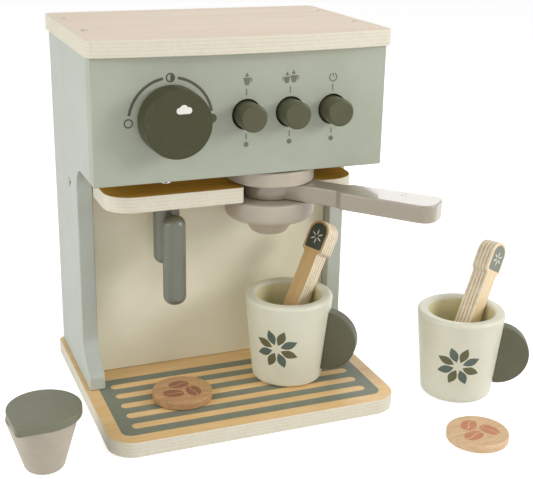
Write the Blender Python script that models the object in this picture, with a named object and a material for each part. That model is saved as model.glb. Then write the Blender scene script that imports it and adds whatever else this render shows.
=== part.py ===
"""Wooden toy espresso machine with two cups, two stirrers, two coffee pads and a capsule.

Units are metres, +Z is up and -Y is the front. The origin is the centre of the underside of
the machine's base board. Run with: blender --background --python part.py
"""
import math

import bmesh
import bpy
from mathutils import Matrix, Vector

# Fits and mesh fineness
FIT_GAP = 0.0003            # between two pieces that touch
CUT_OVERRUN = 0.002         # how far a cutter runs past the face that it opens
RUNNING_GAP = 0.0005        # round a piece that turns or slides
TURN_STEPS = 36             # sides of a large turned piece
ROD_STEPS = 24              # sides of a small turned piece
PIN_STEPS = 12              # sides of a dowel, a screw or its hole
CORNER_STEPS = 4            # facets of a rounded corner of an outline
EDGE_STEPS = 2              # facets of a rounded edge of a turned piece
MERGE_DISTANCE = 0.00001

# Boards
BOARD = 0.012               # thickness of every plywood board
ARRIS = 0.0006              # softened edge of a board
BODY_WIDTH = 0.220          # over the two side panels
HEAD_TOP = 0.276            # underside of the top board
HEAD_HEIGHT = 0.0895        # height of the control panel

BASE_DEPTH = 0.198
BASE_SIDE_LIP = 0.0035
BASE_FRONT_RADIUS = 0.020
BASE_BACK_RADIUS = 0.0065

PANEL_SETBACK = 0.0477      # control panel's face behind the base's front edge
SIDE_BACK_INSET = 0.0055    # side panels' back edge ahead of the base's back edge
COLUMN_SETBACK = 0.0613     # column's front edge behind the control panel's face
FOOT_REACH = 0.021          # foot's front ahead of the column's front edge
FOOT_TOE_RISE = 0.0115      # height of the foot's upright toe
FOOT_SLOPE_RISE = 0.016     # rise of the foot's slope from toe to column
FOOT_TOE_RADIUS = 0.006
FOOT_SLOPE_RADIUS = 0.016
THROAT_RADIUS = 0.016       # corner between the column and the head's underside
SIDE_CORNER_RADIUS = 0.003

TOP_SIDE_LIP = 0.003
TOP_FRONT_LIP = 0.0035      # overhang at the ends of the bowed front edge
TOP_BACK_LIP = 0.001
TOP_BOW = 0.008             # how far the front edge swells at its middle
TOP_CORNER_RADIUS = 0.0065
BOW_STEPS = 12

SHELF_DROP = 0.0125         # shelf's top below the head's underside
SHELF_SETBACK = 0.0113      # shelf's front edge behind the control panel's face
SHELF_CORNER_RADIUS = 0.0205

BACK_WALL_SETBACK = 0.0718  # back wall's face behind the control panel's face

# Wood screws
SCREW_HEAD_RADIUS = 0.0036
SCREW_HEAD_DEPTH = 0.0026
SCREW_SHANK_RADIUS = 0.0018
SCREW_LENGTH = 0.030
SCREW_SINK = 0.0004         # head below the board's face
SCREW_SOCKET_RADIUS = 0.0016
SCREW_SOCKET_DEPTH = 0.0014
SOCKET_SIDES = 6
TOP_SCREW_SETBACK = 0.0443  # front screws behind the control panel's face
TOP_SCREW_BACK_INSET = 0.0335   # back screws ahead of the side panels' back edge
SHELF_SCREW_SETBACK = 0.0856
BASE_SCREW_FRONT_INSET = 0.0120  # front screws behind the column's front edge
BASE_SCREW_BACK_INSET = 0.0115   # back screws ahead of the side panels' back edge
WALL_SCREW_INSET = 0.0380   # wall screws from the wall's ends

# Dowels between the side panels' front edges and the control panel
PANEL_DOWEL_RADIUS = 0.0030
PANEL_DOWEL_SEAT = 0.0070   # how deep it sits in the control panel
PANEL_DOWEL_REACH = 0.0130  # how deep it sits in the side panel
PANEL_DOWEL_MARGIN = 0.0220 # from the panel's upper and lower edges

# Dial
DIAL_X_SHARE = -0.24636     # of the body's width, from its middle
CONTROL_DROP = 0.0447       # the dial's and the buttons' axes below the head's top
DIAL_RADIUS = 0.0245
DIAL_FACE_RADIUS = 0.0241
DIAL_DEPTH = 0.0170
DIAL_EDGE_RADIUS = 0.0010
FELT_THICKNESS = 0.0010
FELT_RADIUS = 0.0150
AXLE_RADIUS = 0.0050
AXLE_SEAT_DEPTH = 0.0110    # how deep the axle is glued into the dial
COLLAR_RADIUS = 0.0100
COLLAR_THICKNESS = 0.0060
DIAL_SCREW_LENGTH = 0.014

# Push buttons
BUTTON_COUNT = 3
FIRST_BUTTON_X_SHARE = 0.00636
BUTTON_PITCH_SHARE = 0.15136
BUTTON_RADIUS = 0.0099
BUTTON_PROUD = 0.0165       # how far a button stands out of the panel
BUTTON_EDGE_RADIUS = 0.0018
BUTTON_HOLE_RADIUS = 0.0112
BUTTON_TRAVEL = 0.0050
BUTTON_FLANGE_RADIUS = 0.0128
BUTTON_FLANGE_THICKNESS = 0.0030
STEM_RADIUS = 0.0040
STEM_PROUD = 0.0010         # how far a stem shows behind the guide board at rest

SPRING_ROOM = 0.0150        # from a button's flange to the guide board
SPRING_RADIUS = 0.0065
SPRING_WIRE_RADIUS = 0.0006
SPRING_CURLS = 6
CURL_POINTS = 9

GUIDE_THICKNESS = 0.0080
GUIDE_HEIGHT = 0.0360
GUIDE_MARGIN = 0.0170       # from an outer button's axis to the board's end
GUIDE_DOWEL_RADIUS = 0.0028
GUIDE_DOWEL_DROP = 0.0120   # guide board's dowels below the buttons' axes
GUIDE_DOWEL_SEAT = 0.0060   # how deep the dowel sits in the control panel

# Portafilter
FILTER_X_SHARE = 0.15       # of the body's width, from its middle
FILTER_SETBACK = 0.0328     # its axis behind the control panel's face
DISC_TOP_GAP = 0.0010       # disc below the head's underside
DISC_RADIUS = 0.0336
DISC_EDGE_RADIUS = 0.0015
BASKET_RADIUS = 0.0245
BASKET_DEPTH = 0.0066
BASKET_FLOOR = 0.0010       # wood left over the dowel
WAIST_RADIUS = 0.0200       # round end of the handle board
WAIST_PLAY = 0.0011         # handle board thicker than the shelf
FUNNEL_RADIUS = 0.0341
FUNNEL_SIDE = 0.0150
FUNNEL_TAPER = 0.0055
UNDERCUT_RADIUS = 0.0060
SPOUT_TOP_RADIUS = 0.0188
SPOUT_BOTTOM_RADIUS = 0.0130
SPOUT_DEPTH = 0.0088
SPOUT_EDGE_RADIUS = 0.0045
FILTER_DOWEL_RADIUS = 0.0050
FILTER_DOWEL_SEAT = 0.0140  # how deep the dowel enters the funnel

SLOT_HALF_WIDTH = 0.0283
SLOT_LEFT_CORNER_RADIUS = 0.003
SLOT_RIGHT_CORNER_RADIUS = 0.011
SLOT_STEPS = 16

HANDLE_ANGLE = math.radians(-48)
HANDLE_REACH = 0.135        # from the portafilter's axis to the handle's tip
NECK_HALF_WIDTH = 0.0092
NECK_REACH = 0.0590         # where the neck ends and the grip begins
SHOULDER_LENGTH = 0.0050
GRIP_START_HALF_WIDTH = 0.0125
GRIP_END_HALF_WIDTH = 0.0152
GRIP_CORNER_RADIUS = 0.0105
SHOULDER_RADIUS = 0.0040

# Steam wand
WAND_X_SHARE = -0.2109
WAND_POST_SETBACK = 0.0433  # post's axis behind the control panel's face
WAND_POST_RADIUS = 0.0101
WAND_POST_LENGTH = 0.0510
WAND_POST_END_RADIUS = 0.0060
WAND_RADIUS = 0.0087
WAND_LENGTH = 0.0695
WAND_END_RADIUS = 0.0068
WAND_TOP_BELOW_SHELF = 0.0085
WAND_PIVOT_DROP = 0.0300    # pivot below the shelf's underside
WAND_SPACER = 0.0008
SPACER_RADIUS = 0.0055
WAND_PIN_RADIUS = 0.0025
WAND_PIN_HEAD_RADIUS = 0.0040
WAND_PIN_HEAD = 0.0020
WAND_SCREW_LENGTH = 0.030

# Cups
CUP_HEIGHT = 0.0702
CUP_RIM_RADIUS = 0.0348
CUP_BASE_RADIUS = 0.0277
CUP_MOUTH_RADIUS = 0.0260
CUP_WELL_RADIUS = 0.0215
CUP_FLOOR = 0.0080
CUP_LIP_RADIUS = 0.0030
CUP_BASE_EDGE_RADIUS = 0.0032
CUP_HANDLE_RADIUS = 0.0245
CUP_HANDLE_THICKNESS = 0.0110
CUP_HANDLE_CENTRE = 0.0310  # from the cup's axis
CUP_HANDLE_HEIGHT = 0.0340  # disc's centre above the cup's underside
CUP_HANDLE_EDGE = 0.0010
LEFT_CUP_SHIFT = 0.0131     # left cup's axis to the right of the portafilter's axis
LEFT_CUP_LEAD = 0.0125      # left cup's axis ahead of the portafilter's axis
LEFT_CUP_HANDLE_ANGLE = math.radians(-36)
RIGHT_CUP_DISTANCE = 0.0608  # right cup's axis from the base's right edge
RIGHT_CUP_SETBACK = 0.0190   # right cup's axis behind the base's front edge
RIGHT_CUP_HANDLE_ANGLE = math.radians(-28)

# Stirrers
STIRRER_THICKNESS = 0.0145
SHANK_WIDTH = 0.0135
PADDLE_WIDTH = 0.0198
PADDLE_LENGTH = 0.0245
PADDLE_NECK_LENGTH = 0.0025
STIRRER_HEADROOM = 0.0233   # how much shorter a stirrer is than the room from a cup's floor to the shelf
PADDLE_CORNER_RADIUS = 0.0022
SHANK_END_RADIUS = 0.0020
LEFT_STIRRER_OFFSET = (0.0159, 0.0088)      # at the rim, from the cup's axis
LEFT_STIRRER_HEADING = math.radians(17.4)
LEFT_STIRRER_LEAN = math.radians(26.5)
LEFT_STIRRER_TWIST = math.radians(11.1)
RIGHT_STIRRER_OFFSET = (0.0163, 0.0078)
RIGHT_STIRRER_HEADING = math.radians(25.7)
RIGHT_STIRRER_LEAN = math.radians(29.0)
RIGHT_STIRRER_TWIST = math.radians(84.9)

# Coffee pads
PAD_RADIUS = 0.0230
PAD_THICKNESS = 0.0062
PAD_EDGE_RADIUS = 0.0010
LEFT_PAD_SHIFT = 0.0007     # left pad's axis to the right of the wand's axis
LEFT_PAD_LEAD = 0.0244      # left pad's axis ahead of the portafilter's axis
RIGHT_PAD_DISTANCE = 0.0341 # right pad's axis from the base's right edge
RIGHT_PAD_LEAD = 0.0569     # right pad's axis ahead of the base's front edge

# Capsule
CAPSULE_DISTANCE = 0.0458   # capsule's axis from the base's left edge
CAPSULE_SETBACK = 0.0117    # capsule's axis behind the base's front edge
CAPSULE_BASE_RADIUS = 0.0134
CAPSULE_TOP_RADIUS = 0.0250
CAPSULE_HEIGHT = 0.0395
CAPSULE_EDGE_RADIUS = 0.0040
LID_RADIUS = 0.0258
LID_SHIFT = 0.0017          # lid's round part to the right of the capsule's axis
LID_THICKNESS = 0.0065
LID_TAB_REACH = 0.0343
LID_TAB_RADIUS = 0.0034
LID_TAB_ANGLE = math.radians(-131)
LID_ARRIS = 0.0005
LID_DOWEL_RADIUS = 0.0040
LID_DOWEL_LENGTH = 0.0140
LID_DOWEL_SEAT = 0.0040     # how deep the dowel enters the lid

# Places worked out from the sizes above
HALF_WIDTH = BODY_WIDTH / 2
INNER_HALF_WIDTH = HALF_WIDTH - BOARD
BASE_HALF_WIDTH = HALF_WIDTH + BASE_SIDE_LIP
BASE_FRONT_Y = -BASE_DEPTH / 2
BASE_BACK_Y = BASE_DEPTH / 2
PANEL_FACE_Y = BASE_FRONT_Y + PANEL_SETBACK
PANEL_BACK_Y = PANEL_FACE_Y + BOARD
SIDE_BACK_Y = BASE_BACK_Y - SIDE_BACK_INSET
COLUMN_Y = PANEL_FACE_Y + COLUMN_SETBACK
WALL_Y = PANEL_FACE_Y + BACK_WALL_SETBACK
HEAD_BOTTOM = HEAD_TOP - HEAD_HEIGHT
CONTROL_Z = HEAD_TOP - CONTROL_DROP
SHELF_TOP = HEAD_BOTTOM - SHELF_DROP
SHELF_BOTTOM = SHELF_TOP - BOARD
SHELF_FRONT_Y = PANEL_FACE_Y + SHELF_SETBACK
DIAL_X = BODY_WIDTH * DIAL_X_SHARE
FILTER_X = BODY_WIDTH * FILTER_X_SHARE
FILTER_Y = PANEL_FACE_Y + FILTER_SETBACK
WAND_X = BODY_WIDTH * WAND_X_SHARE
WAND_POST_Y = PANEL_FACE_Y + WAND_POST_SETBACK
WAND_Y = WAND_POST_Y - WAND_POST_RADIUS - WAND_SPACER - WAND_RADIUS - 2 * FIT_GAP
WAND_PIVOT_Z = SHELF_BOTTOM - WAND_PIVOT_DROP
GUIDE_FRONT_Y = PANEL_BACK_Y + FIT_GAP + BUTTON_FLANGE_THICKNESS + SPRING_ROOM
BUTTON_XS = [BODY_WIDTH * (FIRST_BUTTON_X_SHARE + BUTTON_PITCH_SHARE * i) for i in range(BUTTON_COUNT)]
STIRRER_LENGTH = SHELF_BOTTOM - BOARD - CUP_FLOOR - STIRRER_HEADROOM

QUARTER_TURN = math.pi / 2
FACING_FRONT = Matrix.Rotation(QUARTER_TURN, 4, "X")

SAGE = (0.352, 0.388, 0.325)
OLIVE = (0.087, 0.090, 0.068)
GREY_GREEN = (0.198, 0.216, 0.181)
CREAM = (0.694, 0.665, 0.513)
CUP_CREAM = (0.712, 0.700, 0.568)
BIRCH = (0.745, 0.560, 0.360)
TAUPE = (0.420, 0.366, 0.322)
STEEL = (0.560, 0.540, 0.500)
FELT = (0.180, 0.180, 0.160)
PAD_WOOD = (0.560, 0.300, 0.130)


def clear_scene():
    """Remove every object so that the model starts from nothing."""
    for old in list(bpy.data.objects):
        bpy.data.objects.remove(old, do_unlink=True)


def finish_material(name, colour, roughness, metallic=0.0):
    """Return a Principled material with one colour."""
    material = bpy.data.materials.new(name)
    material.use_nodes = True
    shader = material.node_tree.nodes["Principled BSDF"]
    shader.inputs["Base Color"].default_value = (*colour, 1.0)
    shader.inputs["Roughness"].default_value = roughness
    shader.inputs["Metallic"].default_value = metallic
    material.diffuse_color = (*colour, 1.0)
    return material


def add_object(name, bm, placement, colour, roughness=0.5, metallic=0.0, smooth=False):
    """Link a finished mesh as a named object at its placement."""
    bmesh.ops.remove_doubles(bm, verts=bm.verts, dist=MERGE_DISTANCE)
    bmesh.ops.recalc_face_normals(bm, faces=bm.faces)
    mesh = bpy.data.meshes.new(name)
    bm.to_mesh(mesh)
    bm.free()
    if smooth:
        mesh.shade_smooth()
        mesh.set_sharp_from_angle(angle=math.radians(35))
    mesh.materials.append(finish_material(name + "_finish", colour, roughness, metallic))
    piece = bpy.data.objects.new(name, mesh)
    bpy.context.collection.objects.link(piece)
    piece.matrix_world = placement
    return piece


def corner_arc(before, corner, after, radius, steps):
    """Points of the arc that rounds one corner of an outline."""
    into = (before - corner).normalized()
    out = (after - corner).normalized()
    angle = into.angle(out)
    reach = radius / math.tan(angle / 2)
    centre = corner + (into + out).normalized() * (radius / math.sin(angle / 2))
    start = corner + into * reach - centre
    sweep = start.angle_signed(corner + out * reach - centre)
    points = []
    for i in range(steps + 1):
        turn = -sweep * i / steps
        cosine, sine = math.cos(turn), math.sin(turn)
        points.append(centre + Vector((start.x * cosine - start.y * sine,
                                       start.x * sine + start.y * cosine)))
    return points


def rounded(corners, closed=True, steps=CORNER_STEPS):
    """Turn corners (u, v, radius) into outline points with an arc at each rounded corner."""
    spots = [Vector((u, v)) for u, v, _ in corners]
    count = len(corners)
    points = []
    for i, (_, _, radius) in enumerate(corners):
        at_end = not closed and i in (0, count - 1)
        if radius and not at_end:
            points += corner_arc(spots[i - 1], spots[i], spots[(i + 1) % count], radius, steps)
        else:
            points.append(spots[i])
    return points


def prism(outline, low, high):
    """Extrude a flat outline along local Z from low to high."""
    bm = bmesh.new()
    rim = [bm.verts.new((point.x, point.y, low)) for point in outline]
    base = bm.faces.new(rim)
    grown = bmesh.ops.extrude_face_region(bm, geom=[base])
    lifted = [item for item in grown["geom"] if isinstance(item, bmesh.types.BMVert)]
    bmesh.ops.translate(bm, vec=(0, 0, high - low), verts=lifted)
    bmesh.ops.recalc_face_normals(bm, faces=bm.faces)
    return bm


def turned(profile, steps=TURN_STEPS):
    """Spin a profile of (radius, height) points, axis to axis, into a solid about local Z."""
    bm = bmesh.new()
    rings = []
    for point in profile:
        radius, height = point[0], point[1]
        if radius < MERGE_DISTANCE:
            rings.append([bm.verts.new((0, 0, height))])
            continue
        ring = []
        for i in range(steps):
            angle = 2 * math.pi * i / steps
            ring.append(bm.verts.new((radius * math.cos(angle), radius * math.sin(angle), height)))
        rings.append(ring)
    for upper, lower in zip(rings, rings[1:]):
        for i in range(steps):
            after = (i + 1) % steps
            if len(upper) == 1:
                bm.faces.new((upper[0], lower[i], lower[after]))
            elif len(lower) == 1:
                bm.faces.new((lower[0], upper[after], upper[i]))
            else:
                bm.faces.new((upper[i], lower[i], lower[after], upper[after]))
    bmesh.ops.recalc_face_normals(bm, faces=bm.faces)
    return bm


def rod(radius, low, high, edge=0.0, steps=PIN_STEPS):
    """A round bar about local Z, with rounded ends where edge is given."""
    corners = [(0, high, 0), (radius, high, edge), (radius, low, edge), (0, low, 0)]
    return turned(rounded(corners, closed=False, steps=EDGE_STEPS), steps)


def join_cutters(name, cutters):
    """Join placed meshes into one hidden cutter object."""
    joined = bmesh.new()
    for bm, placement in cutters:
        bm.transform(placement)
        scratch = bpy.data.meshes.new(name + "_scratch")
        bm.to_mesh(scratch)
        bm.free()
        joined.from_mesh(scratch)
        bpy.data.meshes.remove(scratch)
    mesh = bpy.data.meshes.new(name)
    joined.to_mesh(mesh)
    joined.free()
    cutter = bpy.data.objects.new(name, mesh)
    bpy.context.collection.objects.link(cutter)
    cutter.hide_render = True
    cutter.display_type = "WIRE"
    return cutter


def cut(piece, cutters):
    """Cut placed meshes out of a piece."""
    modifier = piece.modifiers.new("Cut", "BOOLEAN")
    modifier.operation = "DIFFERENCE"
    modifier.solver = "EXACT"
    modifier.object = join_cutters(piece.name + "_cutter", cutters)


def soften(piece, width=ARRIS, segments=1):
    """Round the sharp edges of a piece a little."""
    modifier = piece.modifiers.new("Arris", "BEVEL")
    modifier.width = width
    modifier.segments = segments
    modifier.limit_method = "ANGLE"
    modifier.angle_limit = math.radians(50)
    modifier.use_clamp_overlap = True


def at(x, y, z, turn=None):
    """A placement at a point, turned when a rotation is given."""
    move = Matrix.Translation((x, y, z))
    return move @ turn if turn else move


def screw_profile(length, clearance=0.0):
    """Profile of a countersunk screw, its head's face at height zero."""
    head = SCREW_HEAD_RADIUS + clearance
    shank = SCREW_SHANK_RADIUS + clearance
    lid = SCREW_SINK + CUT_OVERRUN if clearance else 0
    tip = length + clearance
    return [(0, lid), (head, lid), (head, 0), (shank, -SCREW_HEAD_DEPTH), (shank, -tip), (0, -tip)]


def add_screw(name, place, length=SCREW_LENGTH):
    """Add a countersunk wood screw, its head's face at the placement's origin."""
    piece = add_object(name, turned(screw_profile(length), PIN_STEPS), place, STEEL, 0.35, 1.0)
    socket = prism([Vector((SCREW_SOCKET_RADIUS * math.cos(2 * math.pi * i / SOCKET_SIDES),
                            SCREW_SOCKET_RADIUS * math.sin(2 * math.pi * i / SOCKET_SIDES)))
                    for i in range(SOCKET_SIDES)], -SCREW_SOCKET_DEPTH, CUT_OVERRUN)
    cut(piece, [(socket, place)])
    return piece


def screw_hole(place, length=SCREW_LENGTH):
    """Cutter for a screw's countersunk hole and its pilot bore."""
    return turned(screw_profile(length, FIT_GAP), PIN_STEPS), place


SIDE_MIDDLE = HALF_WIDTH - BOARD / 2
SIDEWAYS = {1: Matrix.Rotation(QUARTER_TURN, 4, "Y"), -1: Matrix.Rotation(-QUARTER_TURN, 4, "Y")}
UPSIDE_DOWN = Matrix.Rotation(math.pi, 4, "X")


def top_screw_places():
    """Placements of the four screws that hold the top board."""
    places = {}
    for side, x in (("left", -SIDE_MIDDLE), ("right", SIDE_MIDDLE)):
        for end, y in (("front", PANEL_FACE_Y + TOP_SCREW_SETBACK),
                       ("back", SIDE_BACK_Y - TOP_SCREW_BACK_INSET)):
            places[f"top_screw_{side}_{end}"] = at(x, y, HEAD_TOP + BOARD - SCREW_SINK)
    return places


def shelf_screw_places():
    """Placements of the two screws that go through the sides into the shelf."""
    places = {}
    for side, sign in (("left", -1), ("right", 1)):
        x = sign * (HALF_WIDTH - SCREW_SINK)
        y = PANEL_FACE_Y + SHELF_SCREW_SETBACK
        places[f"shelf_screw_{side}"] = at(x, y, SHELF_TOP - BOARD / 2, SIDEWAYS[sign])
    return places


def base_screw_places():
    """Placements of the screws that hold the sides and the back wall from below."""
    places = {}
    for side, x in (("left", -SIDE_MIDDLE), ("right", SIDE_MIDDLE)):
        for end, y in (("front", COLUMN_Y + BASE_SCREW_FRONT_INSET),
                       ("back", SIDE_BACK_Y - BASE_SCREW_BACK_INSET)):
            places[f"base_screw_{side}_{end}"] = at(x, y, SCREW_SINK, UPSIDE_DOWN)
    for side, sign in (("left", -1), ("right", 1)):
        x = sign * (INNER_HALF_WIDTH - WALL_SCREW_INSET)
        places[f"wall_screw_{side}"] = at(x, WALL_Y + BOARD / 2, SCREW_SINK, UPSIDE_DOWN)
    return places


def panel_dowel_places():
    """Placements of the four dowels behind the control panel, pointing to the front."""
    places = {}
    for side, x in (("left", -SIDE_MIDDLE), ("right", SIDE_MIDDLE)):
        for end, z in (("lower", HEAD_BOTTOM + PANEL_DOWEL_MARGIN),
                       ("upper", HEAD_TOP - PANEL_DOWEL_MARGIN)):
            places[f"panel_dowel_{side}_{end}"] = at(x, PANEL_BACK_Y, z, FACING_FRONT)
    return places


def panel_dowel_hole(place):
    """Cutter for one of the control panel's dowels."""
    low, high = -PANEL_DOWEL_REACH - FIT_GAP, PANEL_DOWEL_SEAT + FIT_GAP
    return rod(PANEL_DOWEL_RADIUS + FIT_GAP, low, high), place


def build_base():
    """Base board with rounded corners."""
    half = BASE_HALF_WIDTH
    outline = rounded([(-half, BASE_FRONT_Y, BASE_FRONT_RADIUS), (half, BASE_FRONT_Y, BASE_FRONT_RADIUS),
                       (half, BASE_BACK_Y, BASE_BACK_RADIUS), (-half, BASE_BACK_Y, BASE_BACK_RADIUS)])
    board = add_object("base_board", prism(outline, 0, BOARD), at(0, 0, 0), BIRCH, 0.55)
    soften(board)
    cut(board, [screw_hole(place) for place in base_screw_places().values()])


def side_outline():
    """Outline of a side panel as (y, z): deep head, set back column and flared foot."""
    foot = BOARD + FIT_GAP
    top = HEAD_TOP - FIT_GAP
    toe_y = COLUMN_Y - FOOT_REACH
    toe_z = foot + FOOT_TOE_RISE
    head_front = PANEL_BACK_Y + FIT_GAP
    return rounded([(toe_y, foot, 0), (SIDE_BACK_Y, foot, 0), (SIDE_BACK_Y, top, SIDE_CORNER_RADIUS),
                    (head_front, top, 0), (head_front, HEAD_BOTTOM, 0),
                    (COLUMN_Y, HEAD_BOTTOM, THROAT_RADIUS),
                    (COLUMN_Y, toe_z + FOOT_SLOPE_RISE, FOOT_SLOPE_RADIUS),
                    (toe_y, toe_z, FOOT_TOE_RADIUS)])


def build_sides():
    """Two side panels, left and right of the machine."""
    stand = Matrix(((0, 0, 1, 0), (1, 0, 0, 0), (0, 1, 0, 0), (0, 0, 0, 1)))
    screws = {**top_screw_places(), **shelf_screw_places(), **base_screw_places()}
    for side, low in (("left", -HALF_WIDTH), ("right", INNER_HALF_WIDTH)):
        panel = add_object(f"{side}_side_panel", prism(side_outline(), 0, BOARD),
                           at(low, 0, 0, stand), SAGE, 0.6)
        soften(panel)
        holes = [screw_hole(place) for name, place in screws.items()
                 if side in name and not name.startswith("wall")]
        holes += [panel_dowel_hole(place) for name, place in panel_dowel_places().items()
                  if side in name]
        cut(panel, holes)


def build_control_panel():
    """Front panel with the axle hole and the button holes."""
    outline = rounded([(-HALF_WIDTH, HEAD_BOTTOM, 0), (HALF_WIDTH, HEAD_BOTTOM, 0),
                       (HALF_WIDTH, HEAD_TOP - FIT_GAP, 0), (-HALF_WIDTH, HEAD_TOP - FIT_GAP, 0)])
    panel = add_object("control_panel", prism(outline, 0, BOARD), at(0, PANEL_BACK_Y, 0, FACING_FRONT),
                       SAGE, 0.6)
    soften(panel)
    low, high = -CUT_OVERRUN, BOARD + CUT_OVERRUN
    holes = [(rod(AXLE_RADIUS + RUNNING_GAP, low, high),
              at(DIAL_X, PANEL_BACK_Y, CONTROL_Z, FACING_FRONT))]
    for x in BUTTON_XS:
        holes.append((rod(BUTTON_HOLE_RADIUS, low, high, steps=TURN_STEPS),
                      at(x, PANEL_BACK_Y, CONTROL_Z, FACING_FRONT)))
    for place in guide_dowel_places():
        holes.append((rod(GUIDE_DOWEL_RADIUS + FIT_GAP, low, GUIDE_DOWEL_SEAT + FIT_GAP), place))
    holes += [panel_dowel_hole(place) for place in panel_dowel_places().values()]
    cut(panel, holes)
    for name, place in panel_dowel_places().items():
        add_object(name, rod(PANEL_DOWEL_RADIUS, -PANEL_DOWEL_REACH, PANEL_DOWEL_SEAT), place,
                   BIRCH, 0.6, smooth=True)


def build_back_wall():
    """Wall between the sides, under the shelf."""
    half = INNER_HALF_WIDTH - FIT_GAP
    low, high = BOARD + FIT_GAP, SHELF_BOTTOM - FIT_GAP
    outline = rounded([(-half, low, 0), (half, low, 0), (half, high, 0), (-half, high, 0)])
    wall = add_object("back_wall", prism(outline, 0, BOARD), at(0, WALL_Y + BOARD, 0, FACING_FRONT),
                      CREAM, 0.6)
    cut(wall, [screw_hole(place) for name, place in base_screw_places().items()
               if name.startswith("wall")])


def slot_outline():
    """Round-ended slot in the shelf's front edge, run past the edge for cutting."""
    left, right = FILTER_X - SLOT_HALF_WIDTH, FILTER_X + SLOT_HALF_WIDTH
    run = SHELF_FRONT_Y - CUT_OVERRUN
    left_r, right_r = SLOT_LEFT_CORNER_RADIUS, SLOT_RIGHT_CORNER_RADIUS
    points = [Vector((left - left_r, run)), Vector((left - left_r, SHELF_FRONT_Y))]
    for i in range(1, CORNER_STEPS + 1):
        angle = QUARTER_TURN * (1 - i / CORNER_STEPS)
        points.append(Vector((left - left_r + left_r * math.cos(angle),
                              SHELF_FRONT_Y + left_r - left_r * math.sin(angle))))
    for i in range(SLOT_STEPS + 1):
        angle = math.pi * (1 - i / SLOT_STEPS)
        points.append(Vector((FILTER_X + SLOT_HALF_WIDTH * math.cos(angle),
                              FILTER_Y + SLOT_HALF_WIDTH * math.sin(angle))))
    for i in range(CORNER_STEPS + 1):
        angle = QUARTER_TURN * i / CORNER_STEPS
        points.append(Vector((right + right_r - right_r * math.cos(angle),
                              SHELF_FRONT_Y + right_r - right_r * math.sin(angle))))
    points.append(Vector((right + right_r, run)))
    return points


def build_shelf():
    """Shelf under the head, with the portafilter's slot in its front edge."""
    half = INNER_HALF_WIDTH - FIT_GAP
    outline = rounded([(-half, SHELF_FRONT_Y, SHELF_CORNER_RADIUS),
                       (half, SHELF_FRONT_Y, SHELF_CORNER_RADIUS),
                       (half, SIDE_BACK_Y, 0), (-half, SIDE_BACK_Y, 0)])
    shelf = add_object("shelf", prism(outline, SHELF_BOTTOM, SHELF_TOP), at(0, 0, 0), BIRCH, 0.55)
    slot = prism(slot_outline(), SHELF_BOTTOM - CUT_OVERRUN, SHELF_TOP + CUT_OVERRUN)
    holes = [(slot, at(0, 0, 0)), screw_hole(wand_screw_place(), WAND_SCREW_LENGTH)]
    holes += [screw_hole(place) for place in shelf_screw_places().values()]
    cut(shelf, holes)


def build_top():
    """Top board whose front edge swells gently towards its middle."""
    half = HALF_WIDTH + TOP_SIDE_LIP
    front = PANEL_FACE_Y - TOP_FRONT_LIP
    back = SIDE_BACK_Y + TOP_BACK_LIP
    corners = [(half, back, TOP_CORNER_RADIUS), (-half, back, TOP_CORNER_RADIUS)]
    for i in range(BOW_STEPS + 1):
        across = 2 * i / BOW_STEPS - 1
        radius = TOP_CORNER_RADIUS if i in (0, BOW_STEPS) else 0
        corners.append((half * across, front - TOP_BOW * (1 - across * across), radius))
    board = add_object("top_board", prism(rounded(corners), HEAD_TOP, HEAD_TOP + BOARD), at(0, 0, 0),
                       BIRCH, 0.55)
    soften(board)
    cut(board, [screw_hole(place) for place in top_screw_places().values()])


def build_screws():
    """Every wood screw of the carcass."""
    for places in (top_screw_places(), shelf_screw_places(), base_screw_places()):
        for name, place in places.items():
            add_screw(name, place)


def build_dial():
    """Dial on its axle, with felt in front of the panel and a glued collar behind it."""
    front_of_panel = at(DIAL_X, PANEL_FACE_Y, CONTROL_Z, FACING_FRONT)
    behind_panel = at(DIAL_X, PANEL_BACK_Y, CONTROL_Z, FACING_FRONT)
    felt_face = FIT_GAP + FELT_THICKNESS
    dial_back = felt_face + FIT_GAP
    dial_face = dial_back + DIAL_DEPTH
    seat = dial_back + AXLE_SEAT_DEPTH
    bore = AXLE_RADIUS + FIT_GAP
    profile = rounded([(0, dial_face, 0), (DIAL_FACE_RADIUS, dial_face, DIAL_EDGE_RADIUS),
                       (DIAL_RADIUS, dial_back, 0), (bore, dial_back, 0), (bore, seat, 0),
                       (0, seat, 0)], closed=False, steps=EDGE_STEPS)
    add_object("dial", turned(profile, TURN_STEPS), front_of_panel, OLIVE, 0.55, smooth=True)
    ring = [(AXLE_RADIUS + RUNNING_GAP, felt_face), (FELT_RADIUS, felt_face), (FELT_RADIUS, FIT_GAP),
            (AXLE_RADIUS + RUNNING_GAP, FIT_GAP), (AXLE_RADIUS + RUNNING_GAP, felt_face)]
    add_object("dial_felt", turned(ring, ROD_STEPS), front_of_panel, FELT, 0.95)
    collar_face = -FIT_GAP
    collar_end = collar_face - COLLAR_THICKNESS
    axle = rod(AXLE_RADIUS, collar_end, BOARD + seat - FIT_GAP, steps=ROD_STEPS)
    axle_piece = add_object("dial_axle", axle, behind_panel, BIRCH, 0.5, smooth=True)
    screw_place = at(DIAL_X, PANEL_BACK_Y - collar_end - SCREW_SINK, CONTROL_Z,
                     Matrix.Rotation(-QUARTER_TURN, 4, "X"))
    cut(axle_piece, [screw_hole(screw_place, DIAL_SCREW_LENGTH)])
    ring = [(bore, collar_face), (COLLAR_RADIUS, collar_face), (COLLAR_RADIUS, collar_end),
            (bore, collar_end), (bore, collar_face)]
    add_object("dial_collar", turned(ring, ROD_STEPS), behind_panel, BIRCH, 0.55, smooth=True)
    add_screw("dial_screw", screw_place, DIAL_SCREW_LENGTH)


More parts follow.
